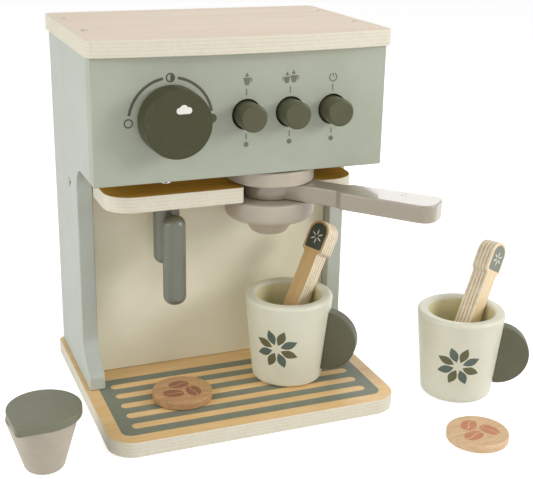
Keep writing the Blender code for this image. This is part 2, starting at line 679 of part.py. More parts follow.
def guide_dowel_places():
    """The dowels that carry the guide board stand midway between the buttons, below their axes."""
    z = CONTROL_Z - GUIDE_DOWEL_DROP
    return [at((a + b) / 2, PANEL_BACK_Y, z, FACING_FRONT) for a, b in zip(BUTTON_XS, BUTTON_XS[1:])]


def spring_points(low, high):
    """Helix between two heights with closed end curls, as points about local Z."""
    points = []
    total = SPRING_CURLS * CURL_POINTS
    end = 2 * SPRING_WIRE_RADIUS + RUNNING_GAP
    middle = high - low - 2 * end
    for i in range(total + 1):
        curl = i / CURL_POINTS
        if curl < 1:
            height = low + end * curl
        elif curl > SPRING_CURLS - 1:
            height = high - end * (SPRING_CURLS - curl)
        else:
            height = low + end + middle * (curl - 1) / (SPRING_CURLS - 2)
        angle = 2 * math.pi * curl
        points.append((SPRING_RADIUS * math.cos(angle), SPRING_RADIUS * math.sin(angle), height))
    return points


def least_self_gap(points):
    """Smallest gap between curls of a spring, measured between its points."""
    gap = SPRING_RADIUS
    for i, first in enumerate(points):
        for second in points[i + CURL_POINTS // 2:]:
            gap = min(gap, (Vector(first) - Vector(second)).length - 2 * SPRING_WIRE_RADIUS)
    return gap


def build_spring(name, place, low, high):
    """Wound compression spring between two heights along local Z."""
    points = spring_points(low + SPRING_WIRE_RADIUS, high - SPRING_WIRE_RADIUS)
    curve = bpy.data.curves.new(name, "CURVE")
    curve.dimensions = "3D"
    curve.bevel_depth = SPRING_WIRE_RADIUS
    curve.bevel_resolution = 1
    curve.use_fill_caps = True
    spline = curve.splines.new("POLY")
    spline.points.add(len(points) - 1)
    for spot, point in zip(spline.points, points):
        spot.co = (*point, 1.0)
    curve.materials.append(finish_material(name + "_finish", STEEL, 0.3, 1.0))
    spring = bpy.data.objects.new(name, curve)
    bpy.context.collection.objects.link(spring)
    spring.matrix_world = place
    print(name, "least gap between curls", round(least_self_gap(points), 5))


def build_buttons():
    """Three sprung push buttons, with flanges behind the panel and stems in a guide board."""
    flange_face = -FIT_GAP
    flange_back = flange_face - BUTTON_FLANGE_THICKNESS
    guide_face = flange_back - SPRING_ROOM
    stem_end = guide_face - GUIDE_THICKNESS - STEM_PROUD
    cap_face = BOARD + BUTTON_PROUD
    for i, x in enumerate(BUTTON_XS, start=1):
        place = at(x, PANEL_BACK_Y, CONTROL_Z, FACING_FRONT)
        profile = rounded([(0, cap_face, 0), (BUTTON_RADIUS, cap_face, BUTTON_EDGE_RADIUS),
                           (BUTTON_RADIUS, flange_face, 0), (BUTTON_FLANGE_RADIUS, flange_face, 0),
                           (BUTTON_FLANGE_RADIUS, flange_back, 0), (STEM_RADIUS, flange_back, 0),
                           (STEM_RADIUS, stem_end, 0), (0, stem_end, 0)], closed=False, steps=EDGE_STEPS)
        add_object(f"button_{i}", turned(profile, ROD_STEPS), place, OLIVE, 0.5, smooth=True)
        build_spring(f"button_spring_{i}", place, guide_face + FIT_GAP, flange_back - FIT_GAP)
    half = GUIDE_HEIGHT / 2
    low, high = BUTTON_XS[0] - GUIDE_MARGIN, BUTTON_XS[-1] + GUIDE_MARGIN
    outline = rounded([(low, -half, 0), (high, -half, 0), (high, half, 0), (low, half, 0)])
    board = add_object("button_guide_board", prism(outline, guide_face - GUIDE_THICKNESS, guide_face),
                       at(0, PANEL_BACK_Y, CONTROL_Z, FACING_FRONT), BIRCH, 0.6)
    reach_low, reach_high = guide_face - GUIDE_THICKNESS - CUT_OVERRUN, guide_face + CUT_OVERRUN
    holes = [(rod(STEM_RADIUS + RUNNING_GAP, reach_low, reach_high),
              at(x, PANEL_BACK_Y, CONTROL_Z, FACING_FRONT)) for x in BUTTON_XS]
    holes += [(rod(GUIDE_DOWEL_RADIUS + FIT_GAP, reach_low, reach_high), place)
              for place in guide_dowel_places()]
    cut(board, holes)
    for i, place in enumerate(guide_dowel_places(), start=1):
        dowel = rod(GUIDE_DOWEL_RADIUS, guide_face - GUIDE_THICKNESS, GUIDE_DOWEL_SEAT)
        add_object(f"guide_dowel_{i}", dowel, place, BIRCH, 0.6, smooth=True)


def build_portafilter():
    """Portafilter in the shelf's slot: filter disc, handle board and funnel on one dowel."""
    place = at(FILTER_X, FILTER_Y, 0, Matrix.Rotation(HANDLE_ANGLE, 4, "Z"))
    disc_low = SHELF_TOP + FIT_GAP
    disc_top = HEAD_BOTTOM - DISC_TOP_GAP
    basket = disc_top - BASKET_DEPTH
    handle_low = SHELF_BOTTOM - WAIST_PLAY
    funnel_top = handle_low - FIT_GAP
    side_low = funnel_top - FUNNEL_SIDE
    taper_low = side_low - FUNNEL_TAPER
    spout_low = taper_low - SPOUT_DEPTH
    dowel_low = funnel_top - FILTER_DOWEL_SEAT
    dowel_high = basket - BASKET_FLOOR
    profile = rounded([(0, basket, 0), (BASKET_RADIUS, basket, 0), (BASKET_RADIUS, disc_top, 0),
                       (DISC_RADIUS, disc_top, DISC_EDGE_RADIUS),
                       (DISC_RADIUS, disc_low, DISC_EDGE_RADIUS), (0, disc_low, 0)],
                      closed=False, steps=EDGE_STEPS)
    disc = add_object("filter_disc", turned(profile), place, TAUPE, 0.5, smooth=True)
    profile = rounded([(0, funnel_top, 0), (FUNNEL_RADIUS, funnel_top, DISC_EDGE_RADIUS),
                       (FUNNEL_RADIUS, side_low, UNDERCUT_RADIUS), (SPOUT_TOP_RADIUS, taper_low, 0),
                       (SPOUT_BOTTOM_RADIUS, spout_low, SPOUT_EDGE_RADIUS), (0, spout_low, 0)],
                      closed=False, steps=EDGE_STEPS)
    funnel = add_object("filter_funnel", turned(profile), place, TAUPE, 0.5, smooth=True)
    shoulder = NECK_REACH + SHOULDER_LENGTH
    root = math.sqrt(WAIST_RADIUS ** 2 - NECK_HALF_WIDTH ** 2)
    corners = [(root, -NECK_HALF_WIDTH, 0), (NECK_REACH, -NECK_HALF_WIDTH, SHOULDER_RADIUS),
               (shoulder, -GRIP_START_HALF_WIDTH, SHOULDER_RADIUS),
               (HANDLE_REACH, -GRIP_END_HALF_WIDTH, GRIP_CORNER_RADIUS),
               (HANDLE_REACH, GRIP_END_HALF_WIDTH, GRIP_CORNER_RADIUS),
               (shoulder, GRIP_START_HALF_WIDTH, SHOULDER_RADIUS),
               (NECK_REACH, NECK_HALF_WIDTH, SHOULDER_RADIUS), (root, NECK_HALF_WIDTH, 0)]
    edge = math.asin(NECK_HALF_WIDTH / WAIST_RADIUS)
    for i in range(1, ROD_STEPS):
        angle = edge + 2 * (math.pi - edge) * i / ROD_STEPS
        corners.append((WAIST_RADIUS * math.cos(angle), WAIST_RADIUS * math.sin(angle), 0))
    handle = add_object("portafilter_handle", prism(rounded(corners), handle_low, SHELF_TOP), place,
                        TAUPE, 0.5)
    for piece in (disc, handle, funnel):
        cut(piece, [(rod(FILTER_DOWEL_RADIUS + FIT_GAP, dowel_low - FIT_GAP, dowel_high + FIT_GAP),
                     place)])
    add_object("filter_dowel", rod(FILTER_DOWEL_RADIUS, dowel_low, dowel_high), place, BIRCH, 0.6,
               smooth=True)


def wand_screw_place():
    """The wand's post hangs on a screw through the shelf from above."""
    return at(WAND_X, WAND_POST_Y, SHELF_TOP - SCREW_SINK)


def build_wand():
    """Steam wand on a pin through the post that hangs under the shelf."""
    post_top = SHELF_BOTTOM - FIT_GAP
    post_low = post_top - WAND_POST_LENGTH
    profile = rounded([(0, post_top, 0), (WAND_POST_RADIUS, post_top, 0),
                       (WAND_POST_RADIUS, post_low, WAND_POST_END_RADIUS), (0, post_low, 0)],
                      closed=False)
    post = add_object("wand_post", turned(profile, ROD_STEPS), at(WAND_X, WAND_POST_Y, 0),
                      GREY_GREEN, 0.45, smooth=True)
    pivot = at(WAND_X, WAND_Y, WAND_PIVOT_Z, FACING_FRONT)
    pin_front = WAND_RADIUS + FIT_GAP
    post_face = -(WAND_POST_Y - WAND_POST_RADIUS - WAND_Y)
    pin_back = post_face - WAND_POST_RADIUS
    cut(post, [screw_hole(wand_screw_place(), WAND_SCREW_LENGTH),
               (rod(WAND_PIN_RADIUS + FIT_GAP, pin_back - FIT_GAP, post_face + WAND_POST_RADIUS), pivot)])
    top = SHELF_BOTTOM - WAND_TOP_BELOW_SHELF - WAND_PIVOT_Z
    wand = rod(WAND_RADIUS, top - WAND_LENGTH, top, edge=WAND_END_RADIUS, steps=ROD_STEPS)
    wand_piece = add_object("steam_wand", wand, at(WAND_X, WAND_Y, WAND_PIVOT_Z), GREY_GREEN, 0.45,
                            smooth=True)
    head_seat = pin_front - WAND_PIN_HEAD
    cut(wand_piece, [(rod(WAND_PIN_RADIUS + RUNNING_GAP, -WAND_RADIUS - CUT_OVERRUN, pin_front), pivot)])
    cut(wand_piece, [(rod(WAND_PIN_HEAD_RADIUS + RUNNING_GAP, head_seat - RUNNING_GAP,
                          pin_front + CUT_OVERRUN), pivot)])
    pin = [(0, WAND_RADIUS - FIT_GAP), (WAND_PIN_HEAD_RADIUS, WAND_RADIUS - FIT_GAP),
           (WAND_PIN_HEAD_RADIUS, head_seat), (WAND_PIN_RADIUS, head_seat), (WAND_PIN_RADIUS, pin_back),
           (0, pin_back)]
    add_object("wand_pin", turned(pin, PIN_STEPS), pivot, STEEL, 0.35, 1.0, smooth=True)
    inner = WAND_PIN_RADIUS + RUNNING_GAP
    spacer_back = post_face + FIT_GAP
    spacer_front = spacer_back + WAND_SPACER
    ring = [(inner, spacer_front), (SPACER_RADIUS, spacer_front), (SPACER_RADIUS, spacer_back),
            (inner, spacer_back), (inner, spacer_front)]
    add_object("wand_spacer", turned(ring, PIN_STEPS), pivot, STEEL, 0.4, 1.0)
    add_screw("wand_screw", wand_screw_place(), WAND_SCREW_LENGTH)


def cup_outer(grow=0.0):
    """Outer profile of a cup as corners, grown by a gap for cutting what touches it."""
    return [(0, CUP_HEIGHT + grow, 0), (CUP_RIM_RADIUS + grow, CUP_HEIGHT + grow, 0),
            (CUP_BASE_RADIUS + grow, -grow, 0), (0, -grow, 0)]


def build_cup(side, x, y, z, handle_angle):
    """Tapered cup with a half-disc handle."""
    place = at(x, y, z)
    mouth, well = CUP_MOUTH_RADIUS, CUP_WELL_RADIUS
    profile = rounded([(0, CUP_FLOOR, 0), (well, CUP_FLOOR, CUP_LIP_RADIUS),
                       (mouth, CUP_HEIGHT, CUP_LIP_RADIUS), (CUP_RIM_RADIUS, CUP_HEIGHT, CUP_LIP_RADIUS),
                       (CUP_BASE_RADIUS, 0, CUP_BASE_EDGE_RADIUS), (0, 0, 0)], closed=False, steps=EDGE_STEPS)
    add_object(f"{side}_cup", turned(profile), place, CUP_CREAM, 0.4, smooth=True)
    heading = Matrix.Rotation(handle_angle, 4, "Z")
    disc_place = place @ heading @ at(CUP_HANDLE_CENTRE, CUP_HANDLE_THICKNESS / 2, CUP_HANDLE_HEIGHT,
                                      FACING_FRONT)
    disc = rod(CUP_HANDLE_RADIUS, 0, CUP_HANDLE_THICKNESS, edge=CUP_HANDLE_EDGE, steps=TURN_STEPS)
    handle = add_object(f"{side}_cup_handle", disc, disc_place, OLIVE, 0.5, smooth=True)
    core = turned(rounded(cup_outer(FIT_GAP), closed=False), TURN_STEPS)
    cut(handle, [(core, place)])


def build_stirrer(side, cup_x, cup_y, cup_z, offset, heading, lean, twist):
    """Flat stirrer that stands in a cup and leans on its rim."""
    turn = (Matrix.Rotation(heading, 4, "Z") @ Matrix.Rotation(lean, 4, "Y")
            @ Matrix.Rotation(twist - QUARTER_TURN, 4, "Z"))
    axis = turn @ Vector((0, 0, 1))
    lowest_corner = (SHANK_WIDTH / 2 * abs((turn @ Vector((1, 0, 0))).z)
                     + STIRRER_THICKNESS / 2 * abs((turn @ Vector((0, 1, 0))).z))
    rim = Vector((cup_x + offset[0], cup_y + offset[1], cup_z + CUP_HEIGHT))
    floor = cup_z + CUP_FLOOR + FIT_GAP + lowest_corner
    foot = rim - axis * ((rim.z - floor) / axis.z)
    half, wide = SHANK_WIDTH / 2, PADDLE_WIDTH / 2
    paddle_low = STIRRER_LENGTH - PADDLE_LENGTH
    shank_high = paddle_low - PADDLE_NECK_LENGTH
    arch = STIRRER_LENGTH - wide
    corners = [(-half, 0, SHANK_END_RADIUS), (half, 0, SHANK_END_RADIUS), (half, shank_high, 0),
               (wide, paddle_low, PADDLE_CORNER_RADIUS), (wide, arch, 0)]
    for i in range(1, CORNER_STEPS * 2):
        angle = math.pi * i / (CORNER_STEPS * 2)
        corners.append((wide * math.cos(angle), arch + wide * math.sin(angle), 0))
    corners += [(-wide, arch, 0), (-wide, paddle_low, PADDLE_CORNER_RADIUS), (-half, shank_high, 0)]
    upright = FACING_FRONT @ at(0, 0, -STIRRER_THICKNESS / 2)
    stirrer = prism(rounded(corners), 0, STIRRER_THICKNESS)
    stirrer.transform(upright)
    place = Matrix.Translation(foot) @ turn
    piece = add_object(f"{side}_stirrer", stirrer, place, BIRCH, 0.6)
    soften(piece)
    print(f"{side}_stirrer axis", [round(value, 4) for value in axis])


def build_pad(side, x, y, z):
    """Round wooden coffee pad."""
    disc = rod(PAD_RADIUS, 0, PAD_THICKNESS, edge=PAD_EDGE_RADIUS, steps=TURN_STEPS)
    add_object(f"{side}_coffee_pad", disc, at(x, y, z), PAD_WOOD, 0.6, smooth=True)


def lid_outline():
    """Round lid with one pulled-out corner as its tab."""
    reach = LID_TAB_REACH - LID_TAB_RADIUS
    touch = math.acos((LID_RADIUS - LID_TAB_RADIUS) / reach)
    middle = Vector((LID_SHIFT, 0))
    points = []
    for i in range(TURN_STEPS + 1):
        angle = LID_TAB_ANGLE + touch + (2 * math.pi - 2 * touch) * i / TURN_STEPS
        points.append(middle + LID_RADIUS * Vector((math.cos(angle), math.sin(angle))))
    tab = middle + reach * Vector((math.cos(LID_TAB_ANGLE), math.sin(LID_TAB_ANGLE)))
    for i in range(CORNER_STEPS + 1):
        angle = LID_TAB_ANGLE - touch + 2 * touch * i / CORNER_STEPS
        points.append(tab + LID_TAB_RADIUS * Vector((math.cos(angle), math.sin(angle))))
    return points


def build_capsule():
    """Turned coffee capsule with a flat lid on a dowel."""
    place = at(-BASE_HALF_WIDTH - CAPSULE_DISTANCE, BASE_FRONT_Y + CAPSULE_SETBACK, 0)
    profile = rounded([(0, CAPSULE_HEIGHT, 0), (CAPSULE_TOP_RADIUS, CAPSULE_HEIGHT, ARRIS),
                       (CAPSULE_BASE_RADIUS, 0, CAPSULE_EDGE_RADIUS), (0, 0, 0)],
                      closed=False, steps=EDGE_STEPS)
    body = add_object("capsule_body", turned(profile), place, TAUPE, 0.45, smooth=True)
    lid_low = CAPSULE_HEIGHT + FIT_GAP
    lid = add_object("capsule_lid", prism(lid_outline(), lid_low, lid_low + LID_THICKNESS), place,
                     GREY_GREEN, 0.5)
    dowel_high = lid_low + LID_DOWEL_SEAT
    dowel_low = dowel_high - LID_DOWEL_LENGTH
    for piece in (body, lid):
        bore = rod(LID_DOWEL_RADIUS + FIT_GAP, dowel_low - FIT_GAP, dowel_high + FIT_GAP)
        cut(piece, [(bore, place)])
    soften(lid, LID_ARRIS)
    add_object("capsule_dowel", rod(LID_DOWEL_RADIUS, dowel_low, dowel_high), place, BIRCH, 0.6)


def build_accessories():
    """Cups, stirrers, pads and the capsule, each where it stands."""
    tray = BOARD + FIT_GAP
    left_cup = (FILTER_X + LEFT_CUP_SHIFT, FILTER_Y - LEFT_CUP_LEAD, tray)
    right_cup = (BASE_HALF_WIDTH + RIGHT_CUP_DISTANCE, BASE_FRONT_Y + RIGHT_CUP_SETBACK, 0)
    build_cup("left", *left_cup, LEFT_CUP_HANDLE_ANGLE)
    build_cup("right", *right_cup, RIGHT_CUP_HANDLE_ANGLE)
    build_stirrer("left", *left_cup, LEFT_STIRRER_OFFSET, LEFT_STIRRER_HEADING, LEFT_STIRRER_LEAN,
                  LEFT_STIRRER_TWIST)
    build_stirrer("right", *right_cup, RIGHT_STIRRER_OFFSET, RIGHT_STIRRER_HEADING, RIGHT_STIRRER_LEAN,
                  RIGHT_STIRRER_TWIST)
    build_pad("left", WAND_X + LEFT_PAD_SHIFT, FILTER_Y - LEFT_PAD_LEAD, tray)
    build_pad("right", BASE_HALF_WIDTH + RIGHT_PAD_DISTANCE, BASE_FRONT_Y - RIGHT_PAD_LEAD, 0)
    build_capsule()


def main():
    """Build the machine and what stands round it."""
    clear_scene()
    build_base()
    build_sides()
    build_control_panel()
    build_back_wall()
    build_shelf()
    build_top()
    build_screws()
    build_dial()
    build_buttons()
    build_portafilter()
    build_wand()
    build_accessories()


main()
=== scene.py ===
"""Looks of a wooden toy espresso machine with its cups, stirrers, coffee pads and capsule."""
import logging
import math
from collections.abc import Callable, Sequence
from dataclasses import dataclass, field
from enum import Enum

import bpy
from mathutils import Matrix, Vector


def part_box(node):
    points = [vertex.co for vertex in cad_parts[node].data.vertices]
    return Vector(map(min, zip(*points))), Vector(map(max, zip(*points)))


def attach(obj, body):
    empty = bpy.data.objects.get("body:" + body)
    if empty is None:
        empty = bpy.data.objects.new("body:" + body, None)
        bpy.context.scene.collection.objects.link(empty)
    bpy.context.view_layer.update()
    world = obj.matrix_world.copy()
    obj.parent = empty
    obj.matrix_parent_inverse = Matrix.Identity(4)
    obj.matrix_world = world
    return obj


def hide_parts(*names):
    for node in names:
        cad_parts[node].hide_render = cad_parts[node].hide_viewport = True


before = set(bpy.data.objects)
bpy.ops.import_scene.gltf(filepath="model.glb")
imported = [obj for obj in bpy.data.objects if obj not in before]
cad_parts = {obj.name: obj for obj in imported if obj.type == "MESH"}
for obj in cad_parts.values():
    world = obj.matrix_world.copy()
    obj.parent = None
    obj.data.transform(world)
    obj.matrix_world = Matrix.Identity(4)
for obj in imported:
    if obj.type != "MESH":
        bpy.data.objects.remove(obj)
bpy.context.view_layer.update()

log = logging.getLogger("toy_espresso_machine")

MM = 0.001
FIT_GAP = 0.3 * MM          # between two pieces that touch
PRINT_PROUD = 0.10 * MM     # how far a screen print stands on its wood
PRINT_KEY = 0.03 * MM       # how far a print's underside is keyed into the wood
WELD = 0.002 * MM           # points closer than this become one
SHANK_RADIUS = 2.1 * MM     # hole of a wood screw's shank
SINK_DEPTH = 2.6 * MM       # cone of a wood screw's head
OVERRUN = 3 * MM            # how far a cutter reaches past a face
FLAT_FACE = 0.75            # a face whose normal leans less than this isn't a board's flat one

Outline = list[Vector]
Point = tuple[float, float]
Corner = tuple[float, float, float]
UP = Vector((0, 0, 1))
DOWN = Vector((0, 0, -1))
FORWARD = Vector((0, -1, 0))
FACING_FRONT = Matrix.Rotation(math.pi / 2, 4, "X")
HEAD_DIRECTIONS = {"base_screw": DOWN, "wall_screw": DOWN, "top_screw": UP, "wand_screw": UP,
                   "shelf_screw_left": Vector((-1, 0, 0)), "shelf_screw_right": Vector((1, 0, 0))}


class Axis(Enum):
    """Direction that a grain runs in, a board lies across or a piece was turned about."""

    X = 0
    Y = 1
    Z = 2


class Side(Enum):
    """Which of two like pieces is meant."""

    LEFT = "left"
    RIGHT = "right"


class Work(Enum):
    """What is done to one solid with another."""

    CUT = "DIFFERENCE"
    CROSS = "INTERSECT"
    FUSE = "UNION"


def linear(hex_colour: str) -> tuple[float, float, float, float]:
    """Turn an sRGB hex colour into linear values.

    Args:
        hex_colour: Colour such as "#A1B2C3".

    Returns:
        Red, green, blue and an alpha of one.
    """
    channels = [int(hex_colour[i:i + 2], 16) / 255 for i in (1, 3, 5)]
    red, green, blue = (c / 12.92 if c <= 0.04045 else ((c + 0.055) / 1.055) ** 2.4 for c in channels)
    return red, green, blue, 1.0


def add_node(tree: bpy.types.NodeTree, kind: str, inputs: dict | None = None,
             **settings: object) -> bpy.types.Node:
    """Add a shader node with its settings and links.

    Args:
        tree: Tree that gets the node.
        kind: Blender's name for the node's class, without its "ShaderNode".
        inputs: Input names or numbers, each with a value, a hex colour or the socket to link from.
        **settings: Attributes to set on the node.

    Returns:
        The new node.
    """
    node = tree.nodes.new("ShaderNode" + kind)
    for name, value in settings.items():
        setattr(node, name, value)
    for key, value in (inputs or {}).items():
        if isinstance(value, bpy.types.NodeSocket):
            tree.links.new(value, node.inputs[key])
        else:
            node.inputs[key].default_value = linear(value) if isinstance(value, str) else value
    return node


class Surface:
    """Material under way: its tree, its Principled shader and the socket with places on the object."""

    def __init__(self, name: str, roughness: float, metallic: float = 0.0) -> None:
        """Begin a material.

        Args:
            name: Name of the finish.
            roughness: Roughness of the whole surface.
            metallic: One for bare metal.
        """
        self.material = bpy.data.materials.new(name)
        self.material.use_nodes = True
        self.tree = self.material.node_tree
        self.shader = self.tree.nodes["Principled BSDF"]
        self.set_inputs({"Roughness": roughness, "Metallic": metallic})
        self.place = add_node(self.tree, "TexCoord").outputs["Object"]

    def set_inputs(self, values: dict[str, float]) -> None:
        """Set inputs of the shader by name."""
        for name, value in values.items():
            self.shader.inputs[name].default_value = value

    def mottle(self, size_mm: float, detail: float = 2.0, distortion: float = 0.0, axis: Axis = Axis.X,
               share: float = 1.0, place: bpy.types.NodeSocket | None = None) -> bpy.types.NodeSocket:
        """Return uneven spots, drawn out along the grain of wood.

        Args:
            size_mm: Size of a spot in millimetres.
            detail: How many finer layers it has.
            distortion: How much its spots are pulled about.
            axis: Direction of the grain.
            share: Scale along that direction, below one for long spots.
            place: Places that it reads instead of the object's own.

        Returns:
            The pattern's value.
        """
        along = place or self.place
        if share != 1:
            scale = Vector((1, 1, 1))
            scale[axis.value] = share
            along = add_node(self.tree, "Mapping", {"Vector": along, "Scale": scale}).outputs[0]
        return add_node(self.tree, "TexNoise", {"Vector": along, "Scale": 1 / (size_mm * MM),
                                                "Detail": detail, "Distortion": distortion}).outputs[0]

    def two_tones(self, value: bpy.types.NodeSocket, span: Point, first: bpy.types.NodeSocket | str,
                  second: bpy.types.NodeSocket | str, strength: float = 1.0) -> bpy.types.NodeSocket:
        """Return a colour that runs from one to another as a pattern's value rises.

        Args:
            value: The pattern's value.
            span: Values at which the run starts and ends.
            first: Hex colour or socket.
            second: Hex colour or socket.
            strength: How much of the second colour shows at the end.

        Returns:
            The mixed colour.
        """
        share = add_node(self.tree, "MapRange", {"Value": value, "From Min": span[0], "From Max": span[1],
                                                 "To Max": strength}).outputs[0]
        return add_node(self.tree, "Mix", {0: share, 6: first, 7: second}, data_type="RGBA").outputs[2]

    def complete(self, colour: bpy.types.NodeSocket, height: bpy.types.NodeSocket, relief: Point) -> None:
        """Give the shader its colour and its relief.

        Args:
            colour: Colour of the surface.
            height: Height of the surface.
            relief: Strength of the relief and its depth in millimetres.
        """
        bump = add_node(self.tree, "Bump", {"Height": height, "Strength": relief[0],
                                            "Distance": relief[1] * MM})
        self.tree.links.new(colour, self.shader.inputs["Base Color"])
        self.tree.links.new(bump.outputs[0], self.shader.inputs["Normal"])


class Finish:
    """A finish that makes its material once and then hands out the same one."""

    name: str
    roughness: float
    metallic: float = 0.0

    def material(self) -> bpy.types.Material:
        """Return the finish's material, made on its first use.

        Returns:
            The material.
        """
        known = bpy.data.materials.get(self.name)
        if known:
            return known
        surface = Surface(self.name, self.roughness, self.metallic)
        self.lay(surface)
        return surface.material

    def lay(self, surface: Surface) -> None:
        """Build the finish's nodes."""
        raise NotImplementedError


@dataclass(frozen=True)
class SatinPaint(Finish):
    """Water-based satin paint sprayed on sanded board: even colour, a faint orange peel and soft gloss.

    The grain under the paint shows as shallow streaks along one axis.
    """

    name: str
    colour: str
    shade: str
    roughness: float = 0.48
    grain: Axis = Axis.X
    grain_depth: float = 0.25
    streak_mm: float = 1.6
    streak_share: float = 0.06
    cloud_mm: float = 34
    peel_mm: float = 1.1        # real orange peel is finer, too fine to show
    streak_tint: float = 0.4
    tones: Point = (0.5, 0.9)
    coat: float = 0.0
    coat_roughness: float = 0.12
    relief: Point = (0.35, 0.05)

    def lay(self, surface: Surface) -> None:
        """Build the paint's nodes.

        Args:
            surface: Material under way.
        """
        surface.set_inputs({"Coat Weight": self.coat, "Coat Roughness": self.coat_roughness})
        streaks = surface.mottle(self.streak_mm, 4.0, axis=self.grain, share=self.streak_share)
        clouds, peel = surface.mottle(self.cloud_mm, 3.0), surface.mottle(self.peel_mm)
        tone, height = (add_node(surface.tree, "Math", {0: streaks, 1: share, 2: other},
                                 operation="MULTIPLY_ADD").outputs[0]
                        for share, other in ((self.streak_tint, clouds), (self.grain_depth, peel)))
        surface.complete(surface.two_tones(tone, self.tones, self.shade, self.colour), height, self.relief)


@dataclass(frozen=True)
class TurnedPaint(Finish):
    """Satin paint on lathe-turned wood: rings of the gouge show faintly through it on faces and sides."""

    name: str
    colour: str
    shade: str
    centre: Vector
    axis: Axis
    roughness: float = 0.42
    ring_mm: float = 0.9
    ring_depth: float = 0.5
    cloud_mm: float = 14
    peel_mm: float = 0.9
    ring_tint: float = 0.4
    tones: Point = (0.5, 0.9)
    speck: str = "#8F8D78"
    speck_mm: float = 1.3
    speck_span: Point = (0.72, 0.76)
    speckle: float = 0.0
    coat: float = 0.0
    coat_roughness: float = 0.22
    gloss: float = 0.5
    relief: Point = (0.3, 0.05)

    def ring_places(self, surface: Surface) -> bpy.types.NodeSocket:
        """Return places made of the distance from the axis and the height along it.

        Args:
            surface: Material under way.

        Returns:
            The places.
        """
        tree = surface.tree
        across = Vector((1, 1, 1))
        across[self.axis.value] = 0
        local = add_node(tree, "Mapping", {"Vector": surface.place, "Location": self.centre},
                         vector_type="TEXTURE").outputs[0]
        flat = add_node(tree, "VectorMath", {0: local, 1: across}, operation="MULTIPLY").outputs[0]
        radius = add_node(tree, "VectorMath", {0: flat}, operation="LENGTH").outputs[1]
        height = add_node(tree, "SeparateXYZ", {0: local}).outputs[self.axis.value]
        return add_node(tree, "CombineXYZ", {0: radius, 1: height}).outputs[0]

    def lay(self, surface: Surface) -> None:
        """Build the paint's nodes.

        Args:
            surface: Material under way.
        """
        surface.set_inputs({"Coat Weight": self.coat, "Coat Roughness": self.coat_roughness,
                            "Specular IOR Level": self.gloss})
        rings = surface.mottle(self.ring_mm, place=self.ring_places(surface))
        clouds, peel = surface.mottle(self.cloud_mm, 3.0), surface.mottle(self.peel_mm)
        tone, height = (add_node(surface.tree, "Math", {0: rings, 1: share, 2: other},
                                 operation="MULTIPLY_ADD").outputs[0]
                        for share, other in ((self.ring_tint, clouds), (self.ring_depth, peel)))
        colour = surface.two_tones(tone, self.tones, self.shade, self.colour)
        specks = surface.mottle(self.speck_mm, 1.0)
        surface.complete(surface.two_tones(specks, self.speck_span, colour, self.speck, self.speckle), height,
                         self.relief)


@dataclass(frozen=True)
class BirchVeneer(Finish):
    """Rotary-cut birch veneer under clear lacquer: warm pale face with long soft streaks and short flecks."""

    name: str
    light: str
    dark: str
    roughness: float = 0.42
    grain: Axis = Axis.X
    figure_mm: float = 9.0
    fine_mm: float = 0.9
    streak_share: float = 0.09
    figure_part: float = 0.65
    tones: Point = (0.34, 0.64)
    fleck_mm: float = 0.55
    fleck_share: float = 0.16
    fleck_span: Point = (0.66, 0.76)
    fleck_tint: float = 0.35
    relief: Point = (0.25, 0.04)
    start: Vector = Vector((0, 0, 0)).freeze()
    turn: Corner = (0.0, 0.0, 0.0)
    gloss: float = 0.5

    def lay(self, surface: Surface) -> None:
        """Build the veneer's nodes.

        Args:
            surface: Material under way.
        """
        tree = surface.tree
        surface.set_inputs({"Specular IOR Level": self.gloss})
        surface.place = add_node(tree, "Mapping", {"Vector": surface.place, "Location": self.start,
                                                   "Rotation": self.turn}, vector_type="TEXTURE").outputs[0]
        figure = surface.mottle(self.figure_mm, 5.0, 0.7, self.grain, self.streak_share)
        fine = surface.mottle(self.fine_mm, 3.0, axis=self.grain, share=self.streak_share)
        thin = add_node(tree, "Math", {0: fine, 1: 1 - self.figure_part}, operation="MULTIPLY").outputs[0]
        mixed = add_node(tree, "Math", {0: figure, 1: self.figure_part, 2: thin},
                         operation="MULTIPLY_ADD").outputs[0]
        face = surface.two_tones(mixed, self.tones, self.dark, self.light)
        flecks = surface.mottle(self.fleck_mm, 1.0, axis=self.grain, share=self.fleck_share)
        surface.complete(surface.two_tones(flecks, self.fleck_span, face, self.dark, self.fleck_tint), fine,
                         self.relief)


@dataclass(frozen=True)
class BeechDisc(Finish):
    """Slice of steamed beech, sanded and lacquered: pinkish tan with short dark flecks along the grain."""

    name: str
    light: str
    dark: str
    fleck: str
    grain: Axis = Axis.X
    roughness: float = 0.5
    band_mm: float = 3.2
    band_share: float = 0.12
    tones: Point = (0.34, 0.66)
    ray_mm: float = 0.5
    ray_share: float = 0.22
    ray_span: Point = (0.60, 0.72)
    ray_tint: float = 0.7
    relief: Point = (0.3, 0.05)

    def lay(self, surface: Surface) -> None:
        """Build the wood's nodes.

        Args:
            surface: Material under way.
        """
        bands = surface.mottle(self.band_mm, 4.0, 0.4, self.grain, self.band_share)
        rays = surface.mottle(self.ray_mm, 1.0, axis=self.grain, share=self.ray_share)
        face = surface.two_tones(bands, self.tones, self.dark, self.light)
        surface.complete(surface.two_tones(rays, self.ray_span, face, self.fleck, self.ray_tint), rays,
                         self.relief)


